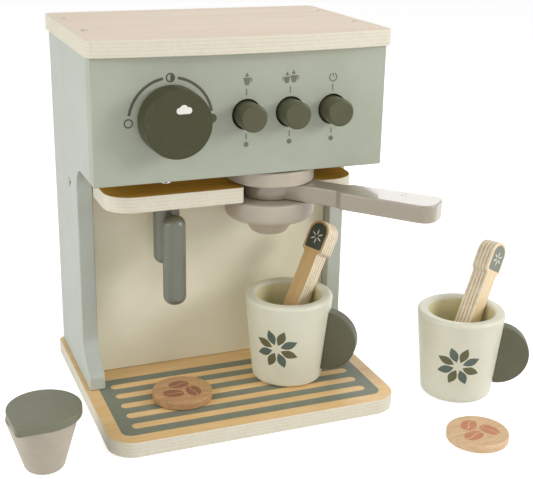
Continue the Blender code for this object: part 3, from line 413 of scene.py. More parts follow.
@dataclass(frozen=True)
class PlyEdge(Finish):
    """Sanded edge of birch plywood: pale plies between thin, worn, darker end-grain plies."""

    name: str
    pale: str
    dark: str
    start: Vector
    across: Axis = Axis.Z
    turn: Corner = (0.0, 0.0, 0.0)
    pitch: float = 2.6 * MM
    line: float = 0.6 * MM
    contrast: float = 0.55
    soft: float = 0.18 * MM
    sway: float = 0.18 * MM
    sway_mm: float = 24
    sway_span: Point = (0.3, 0.7)
    pore_mm: float = 0.6        # real pores are finer, too fine to show
    pore_span: Point = (0.3, 0.6)
    pore_least: float = 0.45
    patch_mm: float = 11
    patch_span: Point = (0.35, 0.65)
    patch_least: float = 0.35
    tint_mm: float = 3.0
    tint_span: Point = (0.35, 0.75)
    tint: float = 0.22
    roughness: float = 0.55
    relief: Point = (0.35, 0.06)

    def dark_plies(self, surface: Surface, pores: bpy.types.NodeSocket) -> bpy.types.NodeSocket:
        """Return how much of each spot is dark end grain.

        Args:
            surface: Material under way.
            pores: Fine pores of the wood.

        Returns:
            The share, up to the edge's contrast.
        """
        tree, half = surface.tree, self.line / 2
        height = add_node(tree, "SeparateXYZ", {0: surface.place}).outputs[self.across.value]
        low, high = self.sway_span
        sway = add_node(tree, "MapRange", {"Value": surface.mottle(self.sway_mm), "From Min": low,
                                           "From Max": high, "To Min": -self.sway, "To Max": self.sway})
        depth = add_node(tree, "Math", {0: height, 1: sway.outputs[0]}, operation="ADD").outputs[0]
        away = add_node(tree, "Math", {0: depth, 1: self.pitch / 2}, operation="PINGPONG").outputs[0]
        share = add_node(tree, "MapRange", {"Value": away, "From Min": half - self.soft,
                                            "From Max": half + self.soft, "To Min": 1.0,
                                            "To Max": 0.0}).outputs[0]
        worn = ((pores, self.pore_span, self.pore_least),
                (surface.mottle(self.patch_mm), self.patch_span, self.patch_least))
        for pattern, (low, high), least in worn:
            left = add_node(tree, "MapRange", {"Value": pattern, "From Min": low, "From Max": high,
                                               "To Min": least}).outputs[0]
            share = add_node(tree, "Math", {0: share, 1: left}, operation="MULTIPLY").outputs[0]
        return add_node(tree, "Math", {0: share, 1: self.contrast}, operation="MULTIPLY").outputs[0]

    def lay(self, surface: Surface) -> None:
        """Build the edge's nodes.

        Args:
            surface: Material under way.
        """
        tree = surface.tree
        surface.place = add_node(tree, "Mapping", {"Vector": surface.place, "Location": self.start,
                                                   "Rotation": self.turn}, vector_type="TEXTURE").outputs[0]
        pores = surface.mottle(self.pore_mm, 3.0)
        shares = self.dark_plies(surface, pores)
        plies = add_node(tree, "Mix", {0: shares, 6: self.pale, 7: self.dark}, data_type="RGBA").outputs[2]
        tint = surface.mottle(self.tint_mm, 3.0)
        surface.complete(surface.two_tones(tint, self.tint_span, plies, self.dark, self.tint), pores,
                         self.relief)


@dataclass(frozen=True)
class ScreenInk(Finish):
    """Screen-printed ink on sealed wood: flat and matt, with the mesh's faint unevenness."""

    name: str
    colour: str
    shade: str
    roughness: float = 0.55
    mesh_mm: float = 0.45       # a real screen is finer, too fine to show
    cloud_mm: float = 6
    tones: Point = (0.75, 1.25)
    relief: Point = (0.25, 0.02)

    def lay(self, surface: Surface) -> None:
        """Build the ink's nodes.

        Args:
            surface: Material under way.
        """
        mesh_marks = surface.mottle(self.mesh_mm)
        tone = add_node(surface.tree, "Math", {0: surface.mottle(self.cloud_mm, 3.0), 1: mesh_marks},
                        operation="ADD").outputs[0]
        colour = surface.two_tones(tone, self.tones, self.shade, self.colour)
        surface.complete(colour, mesh_marks, self.relief)


@dataclass(frozen=True)
class ZincSteel(Finish):
    """Zinc-plated steel of screws, pins and springs: cool bright metal with fine drawn marks."""

    name: str = "zinc_plated_steel_drawn"
    colour: str = "#C9C7C0"
    shade: str = "#A9A79F"
    roughness: float = 0.32
    metallic: float = 1.0
    mark_mm: float = 0.4        # real drawn marks are finer, too fine to show
    tones: Point = (0.3, 0.7)
    roughness_span: Point = (0.26, 0.42)
    relief: Point = (0.2, 0.02)

    def lay(self, surface: Surface) -> None:
        """Build the metal's nodes.

        Args:
            surface: Material under way.
        """
        marks = surface.mottle(self.mark_mm, 3.0)
        (low, high), (smooth, dull) = self.tones, self.roughness_span
        dulled = add_node(surface.tree, "MapRange", {"Value": marks, "From Min": low, "From Max": high,
                                                     "To Min": smooth, "To Max": dull})
        surface.tree.links.new(dulled.outputs[0], surface.shader.inputs["Roughness"])
        surface.complete(surface.two_tones(marks, self.tones, self.shade, self.colour), marks, self.relief)


@dataclass(frozen=True)
class WoolFelt(Finish):
    """Pressed wool felt: soft grey with a fuzzy, light-swallowing surface."""

    name: str = "grey_wool_felt_pressed"
    colour: str = "#7C7A70"
    shade: str = "#65635A"
    roughness: float = 0.95
    sheen: float = 0.4
    fibre_mm: float = 0.5       # real fibres are finer, too fine to show
    tones: Point = (0.35, 0.65)
    relief: Point = (0.7, 0.2)

    def lay(self, surface: Surface) -> None:
        """Build the felt's nodes.

        Args:
            surface: Material under way.
        """
        surface.set_inputs({"Sheen Weight": self.sheen})
        fibres = surface.mottle(self.fibre_mm, 6.0, 1.2)
        surface.complete(surface.two_tones(fibres, self.tones, self.shade, self.colour), fibres, self.relief)


def deselect() -> None:
    """Leave object mode with nothing selected."""
    if bpy.context.object and bpy.context.object.mode != "OBJECT":
        bpy.ops.object.mode_set(mode="OBJECT")
    bpy.ops.object.select_all(action="DESELECT")


def take(piece: bpy.types.Object) -> None:
    """Select one piece alone and make it active.

    Args:
        piece: Piece to select.
    """
    deselect()
    piece.select_set(True)
    bpy.context.view_layer.objects.active = piece


def start_line(name: str, spots: Sequence[Vector]) -> bpy.types.Object:
    """Shrink a plane primitive to one point and extrude it from spot to spot, staying in edit mode.

    Args:
        name: Name of the piece.
        spots: Points of the line.

    Returns:
        The piece with its open line.
    """
    deselect()
    bpy.ops.mesh.primitive_plane_add(size=MM, location=(0, 0, 0))
    piece = bpy.context.object
    piece.name = piece.data.name = name
    bpy.ops.object.mode_set(mode="EDIT")
    bpy.ops.mesh.select_mode(type="VERT")
    bpy.ops.mesh.select_all(action="SELECT")
    bpy.ops.mesh.merge(type="CENTER")
    bpy.ops.transform.translate(value=spots[0])
    for before, after in zip(spots, spots[1:]):
        bpy.ops.mesh.extrude_region_move(TRANSFORM_OT_translate={"value": after - before})
    bpy.ops.mesh.select_all(action="SELECT")
    return piece


def slab(name: str, outline: Outline, place: Matrix, low: float, high: float) -> bpy.types.Object:
    """Draw a closed outline in edit mode, fill it and extrude it into a board.

    Args:
        name: Name of the piece.
        outline: Points (u, v) in the board's plane.
        place: Placement of the board's plane, w being its normal.
        low: Lower face along w.
        high: Upper face along w.

    Returns:
        The board.
    """
    spots = [place @ Vector((point.x, point.y, low)) for point in outline]
    piece = start_line(name, [*spots, spots[0]])
    bpy.ops.mesh.remove_doubles(threshold=WELD)
    bpy.ops.mesh.edge_face_add()
    lift = place.to_3x3() @ Vector((0, 0, high - low))
    bpy.ops.mesh.select_all(action="SELECT")
    bpy.ops.mesh.extrude_region_move(TRANSFORM_OT_translate={"value": lift})
    bpy.ops.mesh.select_all(action="SELECT")
    bpy.ops.mesh.normals_make_consistent(inside=False)
    bpy.ops.object.mode_set(mode="OBJECT")
    return piece


def turn_on_lathe(name: str, corners: Sequence[Corner], origin: Vector, axis: Vector = UP, steps: int = 96,
                  facets: int = 8) -> bpy.types.Object:
    """Draw a profile in edit mode and spin it into a turned piece.

    Args:
        name: Name of the piece.
        corners: Radius, height along the axis and rounding of each corner, from axis to axis or closed.
        origin: Point on the axis from which heights are counted.
        axis: Direction of the axis.
        steps: Facets round the piece.
        facets: Facets of each rounded corner.

    Returns:
        The turned piece.
    """
    side = axis.orthogonal().normalized()
    profile = rounded(corners, closed=False, steps=facets)
    piece = start_line(name, [origin + side * point.x + axis * point.y for point in profile])
    bpy.ops.mesh.spin(steps=steps, angle=2 * math.pi, center=origin, axis=axis)
    bpy.ops.mesh.select_all(action="SELECT")
    bpy.ops.mesh.remove_doubles(threshold=WELD)
    bpy.ops.mesh.normals_make_consistent(inside=False)
    bpy.ops.object.mode_set(mode="OBJECT")
    return piece


def sand(piece: bpy.types.Object, width: float, segments: int = 3, sharp: float = 40.0) -> None:
    """Sand the sharp edges of a board round.

    Args:
        piece: Object to finish.
        width: Radius of the sanded edge.
        segments: Number of facets.
        sharp: Edges that turn by more than this many degrees are sanded.
    """
    take(piece)
    modifier = piece.modifiers.new("Sanded", "BEVEL")
    modifier.width = width
    modifier.segments = segments
    modifier.limit_method = "ANGLE"
    modifier.angle_limit = math.radians(sharp)
    bpy.ops.object.modifier_apply(modifier=modifier.name)


def combine(piece: bpy.types.Object, other: bpy.types.Object, work: Work = Work.CUT) -> None:
    """Cut, cross or fuse one piece with another, and delete the other.

    Args:
        piece: Piece that stays.
        other: Piece that is used up.
        work: What is done.
    """
    take(piece)
    modifier = piece.modifiers.new("Cut", "BOOLEAN")
    modifier.operation = work.value
    modifier.solver = "EXACT"
    modifier.object = other
    bpy.ops.object.modifier_apply(modifier=modifier.name)
    bpy.data.objects.remove(other, do_unlink=True)


def drill(piece: bpy.types.Object, centre: Vector, axis: Axis, radius: float, length: float) -> None:
    """Drill a round hole.

    Args:
        piece: Board to drill.
        centre: Middle of the drill's path.
        axis: Direction of the hole.
        radius: Radius of the hole.
        length: Length of the drill's path.
    """
    deselect()
    turn = {Axis.X: (0, math.pi / 2, 0), Axis.Y: (math.pi / 2, 0, 0), Axis.Z: (0, 0, 0)}[axis]
    bpy.ops.mesh.primitive_cylinder_add(vertices=96, radius=radius, depth=length, location=centre,
                                        rotation=turn)
    cutter = bpy.context.object
    bpy.ops.object.transform_apply(location=True, rotation=True, scale=True)
    combine(piece, cutter)


def middle(node: str) -> Vector:
    """Return the middle of a node's box."""
    low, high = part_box(node)
    return (low + high) / 2


def on_axis(node: str) -> Vector:
    """Return the point of a node's upright axis at height zero."""
    centre = middle(node)
    return Vector((centre.x, centre.y, 0))


def seat(piece: bpy.types.Object, *nodes: str) -> None:
    """Drill a board for its dowels and screws, and countersink each screw's hole.

    Args:
        piece: Board to drill.
        *nodes: Nodes of the dowels and screws.
    """
    for node in nodes:
        low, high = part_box(node)
        size, centre = high - low, middle(node)
        longest, radius = max(range(3), key=lambda i: size[i]), min(size) / 2 + FIT_GAP
        if "screw" not in node:
            drill(piece, centre, Axis(longest), radius, size[longest] + 2 * FIT_GAP)
            continue
        out = next(way for start, way in HEAD_DIRECTIONS.items() if node.startswith(start))
        tip = -max(size) - FIT_GAP
        corners = [(0, OVERRUN, 0), (radius, OVERRUN, 0), (radius, 0, 0), (SHANK_RADIUS, -SINK_DEPTH, 0),
                   (SHANK_RADIUS, tip, 0), (0, tip, 0)]
        combine(piece, turn_on_lathe("countersink", corners, centre + out * (max(size) / 2), out, 48))


def arc_corner(before: Vector, corner: Vector, after: Vector, radius: float, steps: int) -> Outline:
    """Return the points of the arc that rounds one corner.

    Args:
        before: Point ahead of the corner.
        corner: The corner.
        after: Point behind the corner.
        radius: Radius of the arc.
        steps: Number of facets.

    Returns:
        The arc's points in order.
    """
    into = (before - corner).normalized()
    out = (after - corner).normalized()
    angle = into.angle(out)
    reach = radius / math.tan(angle / 2)
    centre = corner + (into + out).normalized() * (radius / math.sin(angle / 2))
    start = corner + into * reach - centre
    sweep = start.angle_signed(corner + out * reach - centre)
    return [centre + Matrix.Rotation(-sweep * i / steps, 2) @ start for i in range(steps + 1)]


def rounded(corners: Sequence[Corner], closed: bool = True, steps: int = 8) -> Outline:
    """Turn corners into points, with an arc at each rounded corner.

    Args:
        corners: Place (u, v) and radius of each corner.
        closed: Whether the line runs back to its start.
        steps: Facets of each arc.

    Returns:
        The line's points.
    """
    spots = [Vector((u, v)) for u, v, _ in corners]
    points: Outline = []
    for i, (_, _, radius) in enumerate(corners):
        if radius and (closed or 0 < i < len(corners) - 1):
            points += arc_corner(spots[i - 1], spots[i], spots[(i + 1) % len(spots)], radius, steps)
        else:
            points.append(spots[i])
    return points


def rectangle(low: Point, high: Point, near: float = 0.0, far: float = 0.0, steps: int = 8) -> Outline:
    """Return the outline of a rectangle.

    Args:
        low: Its lower left corner.
        high: Its upper right corner.
        near: Radius of its lower corners.
        far: Radius of its upper corners.
        steps: Facets of each corner.

    Returns:
        The outline.
    """
    return rounded([(low[0], low[1], near), (high[0], low[1], near), (high[0], high[1], far),
                    (low[0], high[1], far)], steps=steps)


def arc(centre: Point, radius: float, start: float, sweep: float, steps: int) -> Outline:
    """Return points along a circle.

    Args:
        centre: The circle's centre.
        radius: Its radius.
        start: First point's angle in degrees.
        sweep: Angle covered in degrees.
        steps: Number of facets.

    Returns:
        The points, both ends included.
    """
    turns = [math.radians(start + sweep * i / steps) for i in range(steps + 1)]
    return [Vector((centre[0] + radius * math.cos(a), centre[1] + radius * math.sin(a))) for a in turns]


def disc(centre: Point, radius: float, steps: int = 48) -> Outline:
    """Return the outline of a round spot."""
    return arc(centre, radius, 0, 360, steps)[:-1]


def band(centre: Point, radius: float, width: float, start: float, sweep: float, steps: int = 48) -> Outline:
    """Return the outline of a curved line of some width whose middle runs along an arc."""
    outer = arc(centre, radius + width / 2, start, sweep, steps)
    return outer + arc(centre, radius - width / 2, start + sweep, -sweep, steps)


def stadium(first: Point, last: Point, width: float, steps: int = 16) -> Outline:
    """Return the outline of a straight bar with round ends about two points."""
    heading = math.degrees(math.atan2(last[1] - first[1], last[0] - first[0]))
    return arc(last, width / 2, heading - 90, 180, steps) + arc(first, width / 2, heading + 90, 180, steps)


def moved(outline: Outline, centre: Point, heading: float) -> Outline:
    """Return an outline turned by a heading in degrees and moved to its centre."""
    turn = Matrix.Rotation(math.radians(heading), 2)
    return [Vector(centre) + turn @ point for point in outline]


def petal(start: float, end: float, width: float, heading: float, centre: Point = (0.0, 0.0),
          steps: int = 14) -> Outline:
    """Return the outline of an almond-shaped petal.

    Args:
        start: Distance of its foot from the centre.
        end: Distance of its tip from the centre.
        width: Its greatest width.
        heading: Its direction in degrees.
        centre: Middle of the rosette.
        steps: Facets of each side.

    Returns:
        The outline.
    """
    shares = [i / steps for i in range(steps + 1)]
    upper = [Vector((start + (end - start) * s, width / 2 * math.sin(math.pi * s))) for s in shares]
    lower = [Vector((point.x, -point.y)) for point in reversed(upper[1:-1])]
    return moved(upper + lower, centre, heading)


def cloud(centre: Point, width: float, heading: float = 0.0) -> list[Outline]:
    """Return the overlapping outlines of a plain cloud: three puffs on a flat base.

    Args:
        centre: Middle of the cloud.
        width: Its width, 11 units.
        heading: Turn in degrees.

    Returns:
        The outlines.
    """
    unit = width / 11
    puffs = [disc((x * unit, y * unit), radius * unit)
             for x, y, radius in ((-3.3, -0.6, 2.2), (-0.2, 0.5, 3.0), (3.2, -0.5, 2.3))]
    base = rectangle((-3.3 * unit, -2.8 * unit), (3.2 * unit, 0.3 * unit))
    return [moved(shape, centre, heading) for shape in (*puffs, base)]


def join(name: str, pieces: Sequence[bpy.types.Object]) -> bpy.types.Object:
    """Join pieces that lie apart into one.

    Args:
        name: Name of the joined piece.
        pieces: Pieces to join.

    Returns:
        The joined piece.
    """
    take(pieces[0])
    for piece in pieces[1:]:
        piece.select_set(True)
    if len(pieces) > 1:
        bpy.ops.object.join()
    pieces[0].name = pieces[0].data.name = name
    return pieces[0]


def print_shapes(name: str, outlines: Sequence[Outline], place: Matrix, face: float = 0.0,
                 proud: float = PRINT_PROUD, fused: bool = False) -> bpy.types.Object:
    """Lay screen-printed shapes on a flat face as thin layers of ink.

    Args:
        name: Name of the print.
        outlines: Outlines of the shapes in the face's plane.
        place: Placement of the face, w pointing out of it.
        face: Height of the face along w.
        proud: Thickness of the ink.
        fused: Whether the shapes overlap and become one.

    Returns:
        The print.
    """
    layers = [slab(name, outline, place, face - PRINT_KEY, face + proud) for outline in outlines]
    if fused:
        for layer in layers[1:]:
            combine(layers[0], layer, Work.FUSE)
        layers = layers[:1]
    return join(name, layers)


def ring_print(name: str, place: Matrix, centre: Point, radius: float, width: float) -> bpy.types.Object:
    """Lay a printed ring on a flat face.

    Args:
        name: Name of the print.
        place: Placement of the face, w pointing out of it.
        centre: The ring's centre in the face's plane.
        radius: Radius of the ring's middle.
        width: Width of its line.

    Returns:
        The print.
    """
    inner, outer = radius - width / 2, radius + width / 2
    corners = [(inner, -PRINT_KEY, 0), (outer, -PRINT_KEY, 0), (outer, PRINT_PROUD, 0),
               (inner, PRINT_PROUD, 0), (inner, -PRINT_KEY, 0)]
    return turn_on_lathe(name, corners, place @ Vector((*centre, 0)), place.to_3x3() @ UP, 48)


def copy_piece(piece: bpy.types.Object, name: str, move: Matrix) -> bpy.types.Object:
    """Copy a finished shape with its own mesh to another place.

    Args:
        piece: Piece to copy.
        name: Name of the copy.
        move: Motion from the piece to its copy.

    Returns:
        The copy.
    """
    take(piece)
    bpy.ops.object.duplicate(linked=False)
    copy = bpy.context.object
    copy.name = copy.data.name = name
    copy.matrix_world = move
    bpy.ops.object.transform_apply(location=True, rotation=True, scale=True)
    return copy


def copy_to_right(pieces: Sequence[bpy.types.Object], move: Matrix) -> dict[Side, list[bpy.types.Object]]:
    """Copy the left set's pieces for the right set and return the pieces of both."""
    copies = [copy_piece(piece, piece.name.replace("left", "right"), move) for piece in pieces]
    return {Side.LEFT: list(pieces), Side.RIGHT: copies}


def dress(piece: bpy.types.Object, finish: Finish, other: Finish | None = None,
          wanted: Callable[[bpy.types.MeshPolygon], bool] | None = None) -> None:
    """Give a piece its finish, and another one where a test asks for it.

    Args:
        piece: Object to dress.
        finish: Finish of the piece.
        other: Finish of the faces that the test accepts.
        wanted: Test of one face.
    """
    piece.data.materials.clear()
    for each in filter(None, (finish, other)):
        piece.data.materials.append(each.material())
    for polygon in piece.data.polygons:
        polygon.material_index = int(bool(wanted and wanted(polygon)))


def settle(piece: bpy.types.Object, body: str, slot: str, *nodes: str, smooth: float = 40.0) -> None:
    """Shade a finished piece, tie it to its body and hide the nodes it stands for.

    Args:
        piece: Finished piece.
        body: Body that carries it.
        slot: Material slot of its finish; not used.
        *nodes: Nodes that it replaces.
        smooth: Edges that turn by less than this many degrees are shaded smooth.
    """
    take(piece)
    bpy.ops.object.shade_smooth_by_angle(angle=math.radians(smooth))
    even = piece.modifiers.new("Even", "WEIGHTED_NORMAL")
    even.keep_sharp = True
    bpy.ops.object.modifier_apply(modifier=even.name)
    deselect()
    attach(piece, body)
    if nodes:
        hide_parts(*nodes)
    log.info("%s rides on %s, %d faces", piece.name, body, len(piece.data.polygons))


# Zinc-plated steel, drawn: small cool glints in the screws' heads.
STEEL = ZincSteel()
# Wool felt, pressed: a dull grey ring behind the dial that takes up the light.
FELT = WoolFelt()
# Birch, turned and sanded: pale and plain, with fine short lines.
DOWEL_WOOD = BirchVeneer("birch_dowel_sanded", "#E2C79E", "#D3B485")
# Sage satin paint, sprayed: an even grey green with upright grain faintly under it.
SAGE_SIDE = SatinPaint("sage_satin_paint_sprayed_on_side_board", "#BABFB5", "#B4B9AE", grain=Axis.Z)
# The same paint on the front, made a shade deeper as painted shade, since less light falls on the front than
# on the side; level grain shows under it.
SAGE_PANEL_SHADED = SatinPaint("sage_satin_paint_sprayed_on_front_board", "#AEB3A2", "#A8AD9B", grain=Axis.X)
# Cream satin paint, sprayed: a warm light ground behind the tray.
CREAM_WALL = SatinPaint("cream_satin_paint_sprayed_on_board", "#EDE9D2", "#E8E3C9", grain=Axis.X)
# Taupe gloss paint, lacquered: clear bright reflections along the handle.
HANDLE_GLOSS = SatinPaint("taupe_gloss_paint_on_handle_board", "#A09481", "#9A8E7B", roughness=0.30,
                          grain_depth=0.1, coat=1.0)
# Dark olive satin paint: a deep even disc beside the ivory cup.
CUP_HANDLE_PAINT = SatinPaint("dark_olive_satin_paint_on_handle_disc", "#5C5C44", "#56563F")
# Moss satin paint: a muted flat lid.
LID_PAINT = SatinPaint("moss_satin_paint_on_flat_lid", "#777863", "#70715C")
# Birch veneer, lacquered: pale wood, lightened partly as a painted reflection of the bright room, with a
# broad quiet figure and hardly a glint.
TOP_VENEER_WITH_PAINTED_SHEEN = BirchVeneer("birch_veneer_lacquered_top", "#ECDBC8", "#E3D0B9", roughness=0.6, figure_mm=14.0,
                         gloss=0.2)
# Birch veneer darkened as painted shade for the shelf under the head: deep honey wood with no glint.
SHELF_VENEER_SHADED = BirchVeneer("birch_veneer_lacquered_shelf", "#BF9140", "#B18334", roughness=0.8, gloss=0.0)
# Birch veneer, lacquered: honey wood with a narrow figure round the tray.
TRAY_VENEER = BirchVeneer("birch_veneer_lacquered_tray", "#EBC890", "#DFB679", figure_mm=7.0)
# Screen-printed inks: flat matt shapes with crisp rims, each in one quiet tone.
GRILLE_INK = ScreenInk("grey_green_screen_print_on_tray", "#7C8272", "#777D6D")
DIAL_INK = ScreenInk("dark_olive_screen_print", "#505241", "#4A4C3B")
MARK_INK = ScreenInk("grey_olive_screen_print", "#6E715D", "#686B57")
WHITE_INK = ScreenInk("white_screen_print", "#EDECE2", "#E6E4D8")
LEAF_INK = ScreenInk("forest_green_screen_print", "#56655A", "#4B594F")
MOSS_INK = ScreenInk("moss_brown_screen_print", "#625F3F", "#575537")
LABEL_DARK = ScreenInk("deep_green_label_print", "#474C40", "#3F4439")
LABEL_GREY = ScreenInk("grey_green_label_print", "#83877C", "#7B7F74")
BEAN_LEFT = ScreenInk("coffee_brown_screen_print", "#96624A", "#8A5840")
BEAN_RIGHT = ScreenInk("rust_brown_screen_print", "#CF8D6C", "#C68261")


@dataclass(frozen=True)
class Lamp:
    """Square soft lamp: where it hangs, the length of its side and its light in watts."""

    place: Corner
    size: float
    power: float


@dataclass
class Studio:
    """Camera at the photo's viewpoint, pale floor and soft light."""

    place: Vector = field(default_factory=lambda: Vector((-0.25610, -0.73724, 0.39188)))
    azimuth: float = math.radians(21.793)
    elevation: float = math.radians(19.130)
    roll: float = math.radians(1.0758)
    focal_pixels: float = 1050.86
    image_width: int = 533
    sensor: float = 36.0
    near_limit: float = 0.01
    floor_size: float = 6.0
    floor_drop: float = 0.05 * MM
    floor_roughness: float = 0.9
    floor_colour: tuple[float, ...] = (0.80, 0.80, 0.80, 1.0)
    floor_lift: float = 0.66
    room_colour: tuple[float, ...] = (1.0, 1.0, 1.0, 1.0)
    room_light: float = 0.38
    aim: Corner = (0.0, -0.03, 0.13)
    lamps: dict[str, Lamp] = field(default_factory=lambda: {
        "key_lamp": Lamp((1.05, -0.80, 0.62), 0.5, 8.5), "top_lamp": Lamp((0.35, -0.35, 1.5), 0.9, 3.4),
        "back_lamp": Lamp((0.62, 1.35, 0.72), 1.0, 3.0), "low_lamp": Lamp((-0.15, -1.5, 0.10), 0.8, 3.6),
        "side_lamp": Lamp((-1.25, -0.25, 0.65), 1.0, 9.0)})

    def set_camera(self) -> None:
        """Place the camera where the photo was taken."""
        ahead = Vector((math.sin(self.azimuth) * math.cos(self.elevation),
                        math.cos(self.azimuth) * math.cos(self.elevation), -math.sin(self.elevation)))
        level = Vector((math.cos(self.azimuth), -math.sin(self.azimuth), 0))
        upright = level.cross(ahead)
        right = math.cos(self.roll) * level + math.sin(self.roll) * upright
        up = math.cos(self.roll) * upright - math.sin(self.roll) * level
        camera = bpy.data.cameras.new("camera")
        camera.sensor_width = self.sensor
        camera.lens = self.sensor * self.focal_pixels / self.image_width
        camera.clip_start = self.near_limit
        holder = bpy.data.objects.new("camera", camera)
        bpy.context.scene.collection.objects.link(holder)
        turn = Matrix((right, up, -ahead)).transposed().to_4x4()
        holder.matrix_world = Matrix.Translation(self.place) @ turn
        bpy.context.scene.camera = holder

    def seen_directly(self, tree: bpy.types.NodeTree) -> bpy.types.NodeSocket:
        """Tell the rays from the camera, a mirror or glass from the light's own.

        Args:
            tree: Tree that gets the nodes.

        Returns:
            One for those rays, zero for the light's own.
        """
        path = add_node(tree, "LightPath")
        seen = path.outputs["Is Camera Ray"]
        for ray in ("Is Glossy Ray", "Is Transmission Ray"):
            seen = add_node(tree, "Math", {0: seen, 1: path.outputs[ray]}, operation="ADD").outputs[0]
        return seen

    def lay_floor(self) -> None:
        """Lay a pale floor that keeps the shadows and looks white where nothing shades it."""
        deselect()
        bpy.ops.mesh.primitive_plane_add(size=self.floor_size, location=(0, 0, -self.floor_drop))
        floor = bpy.context.object
        floor.name = "studio_floor"
        surface = Surface("pale_studio_floor", self.floor_roughness)
        surface.set_inputs({"Base Color": self.floor_colour, "Specular IOR Level": 0.0})
        tree = surface.tree
        lift = add_node(tree, "Math", {0: self.seen_directly(tree), 1: self.floor_lift}, operation="MULTIPLY")
        glow = add_node(tree, "Emission", {"Strength": lift.outputs[0]})
        both = add_node(tree, "AddShader", {0: surface.shader.outputs[0], 1: glow.outputs[0]})
        tree.links.new(both.outputs[0], tree.nodes["Material Output"].inputs["Surface"])
        floor.data.materials.append(surface.material)

    def light_room(self) -> None:
        """Light the object with a white room and large soft lamps."""
        world = bpy.data.worlds.new("studio_room")
        bpy.context.scene.world = world
        world.use_nodes = True
        tree = world.node_tree
        back = tree.nodes["Background"]
        back.inputs["Color"].default_value = self.room_colour
        strength = add_node(tree, "MapRange", {"Value": self.seen_directly(tree), "To Min": self.room_light})
        tree.links.new(strength.outputs[0], back.inputs["Strength"])
        bpy.context.scene.view_settings.view_transform = "Standard"

    def hang_lamps(self) -> None:
        """Hang the lamps so that they face the machine."""
        for name, lamp in self.lamps.items():
            light = bpy.data.lights.new(name, "AREA")
            light.size = lamp.size
            light.energy = lamp.power
            holder = bpy.data.objects.new(name, light)
            bpy.context.scene.collection.objects.link(holder)
            holder.location = lamp.place
            holder.rotation_mode = "QUATERNION"
            holder.rotation_quaternion = (Vector(self.aim) - Vector(lamp.place)).to_track_quat("-Z", "Y")

    def build(self) -> None:
        """Set up the camera, the floor and the light."""
        self.set_camera()
        self.lay_floor()
        self.light_room()
        self.hang_lamps()


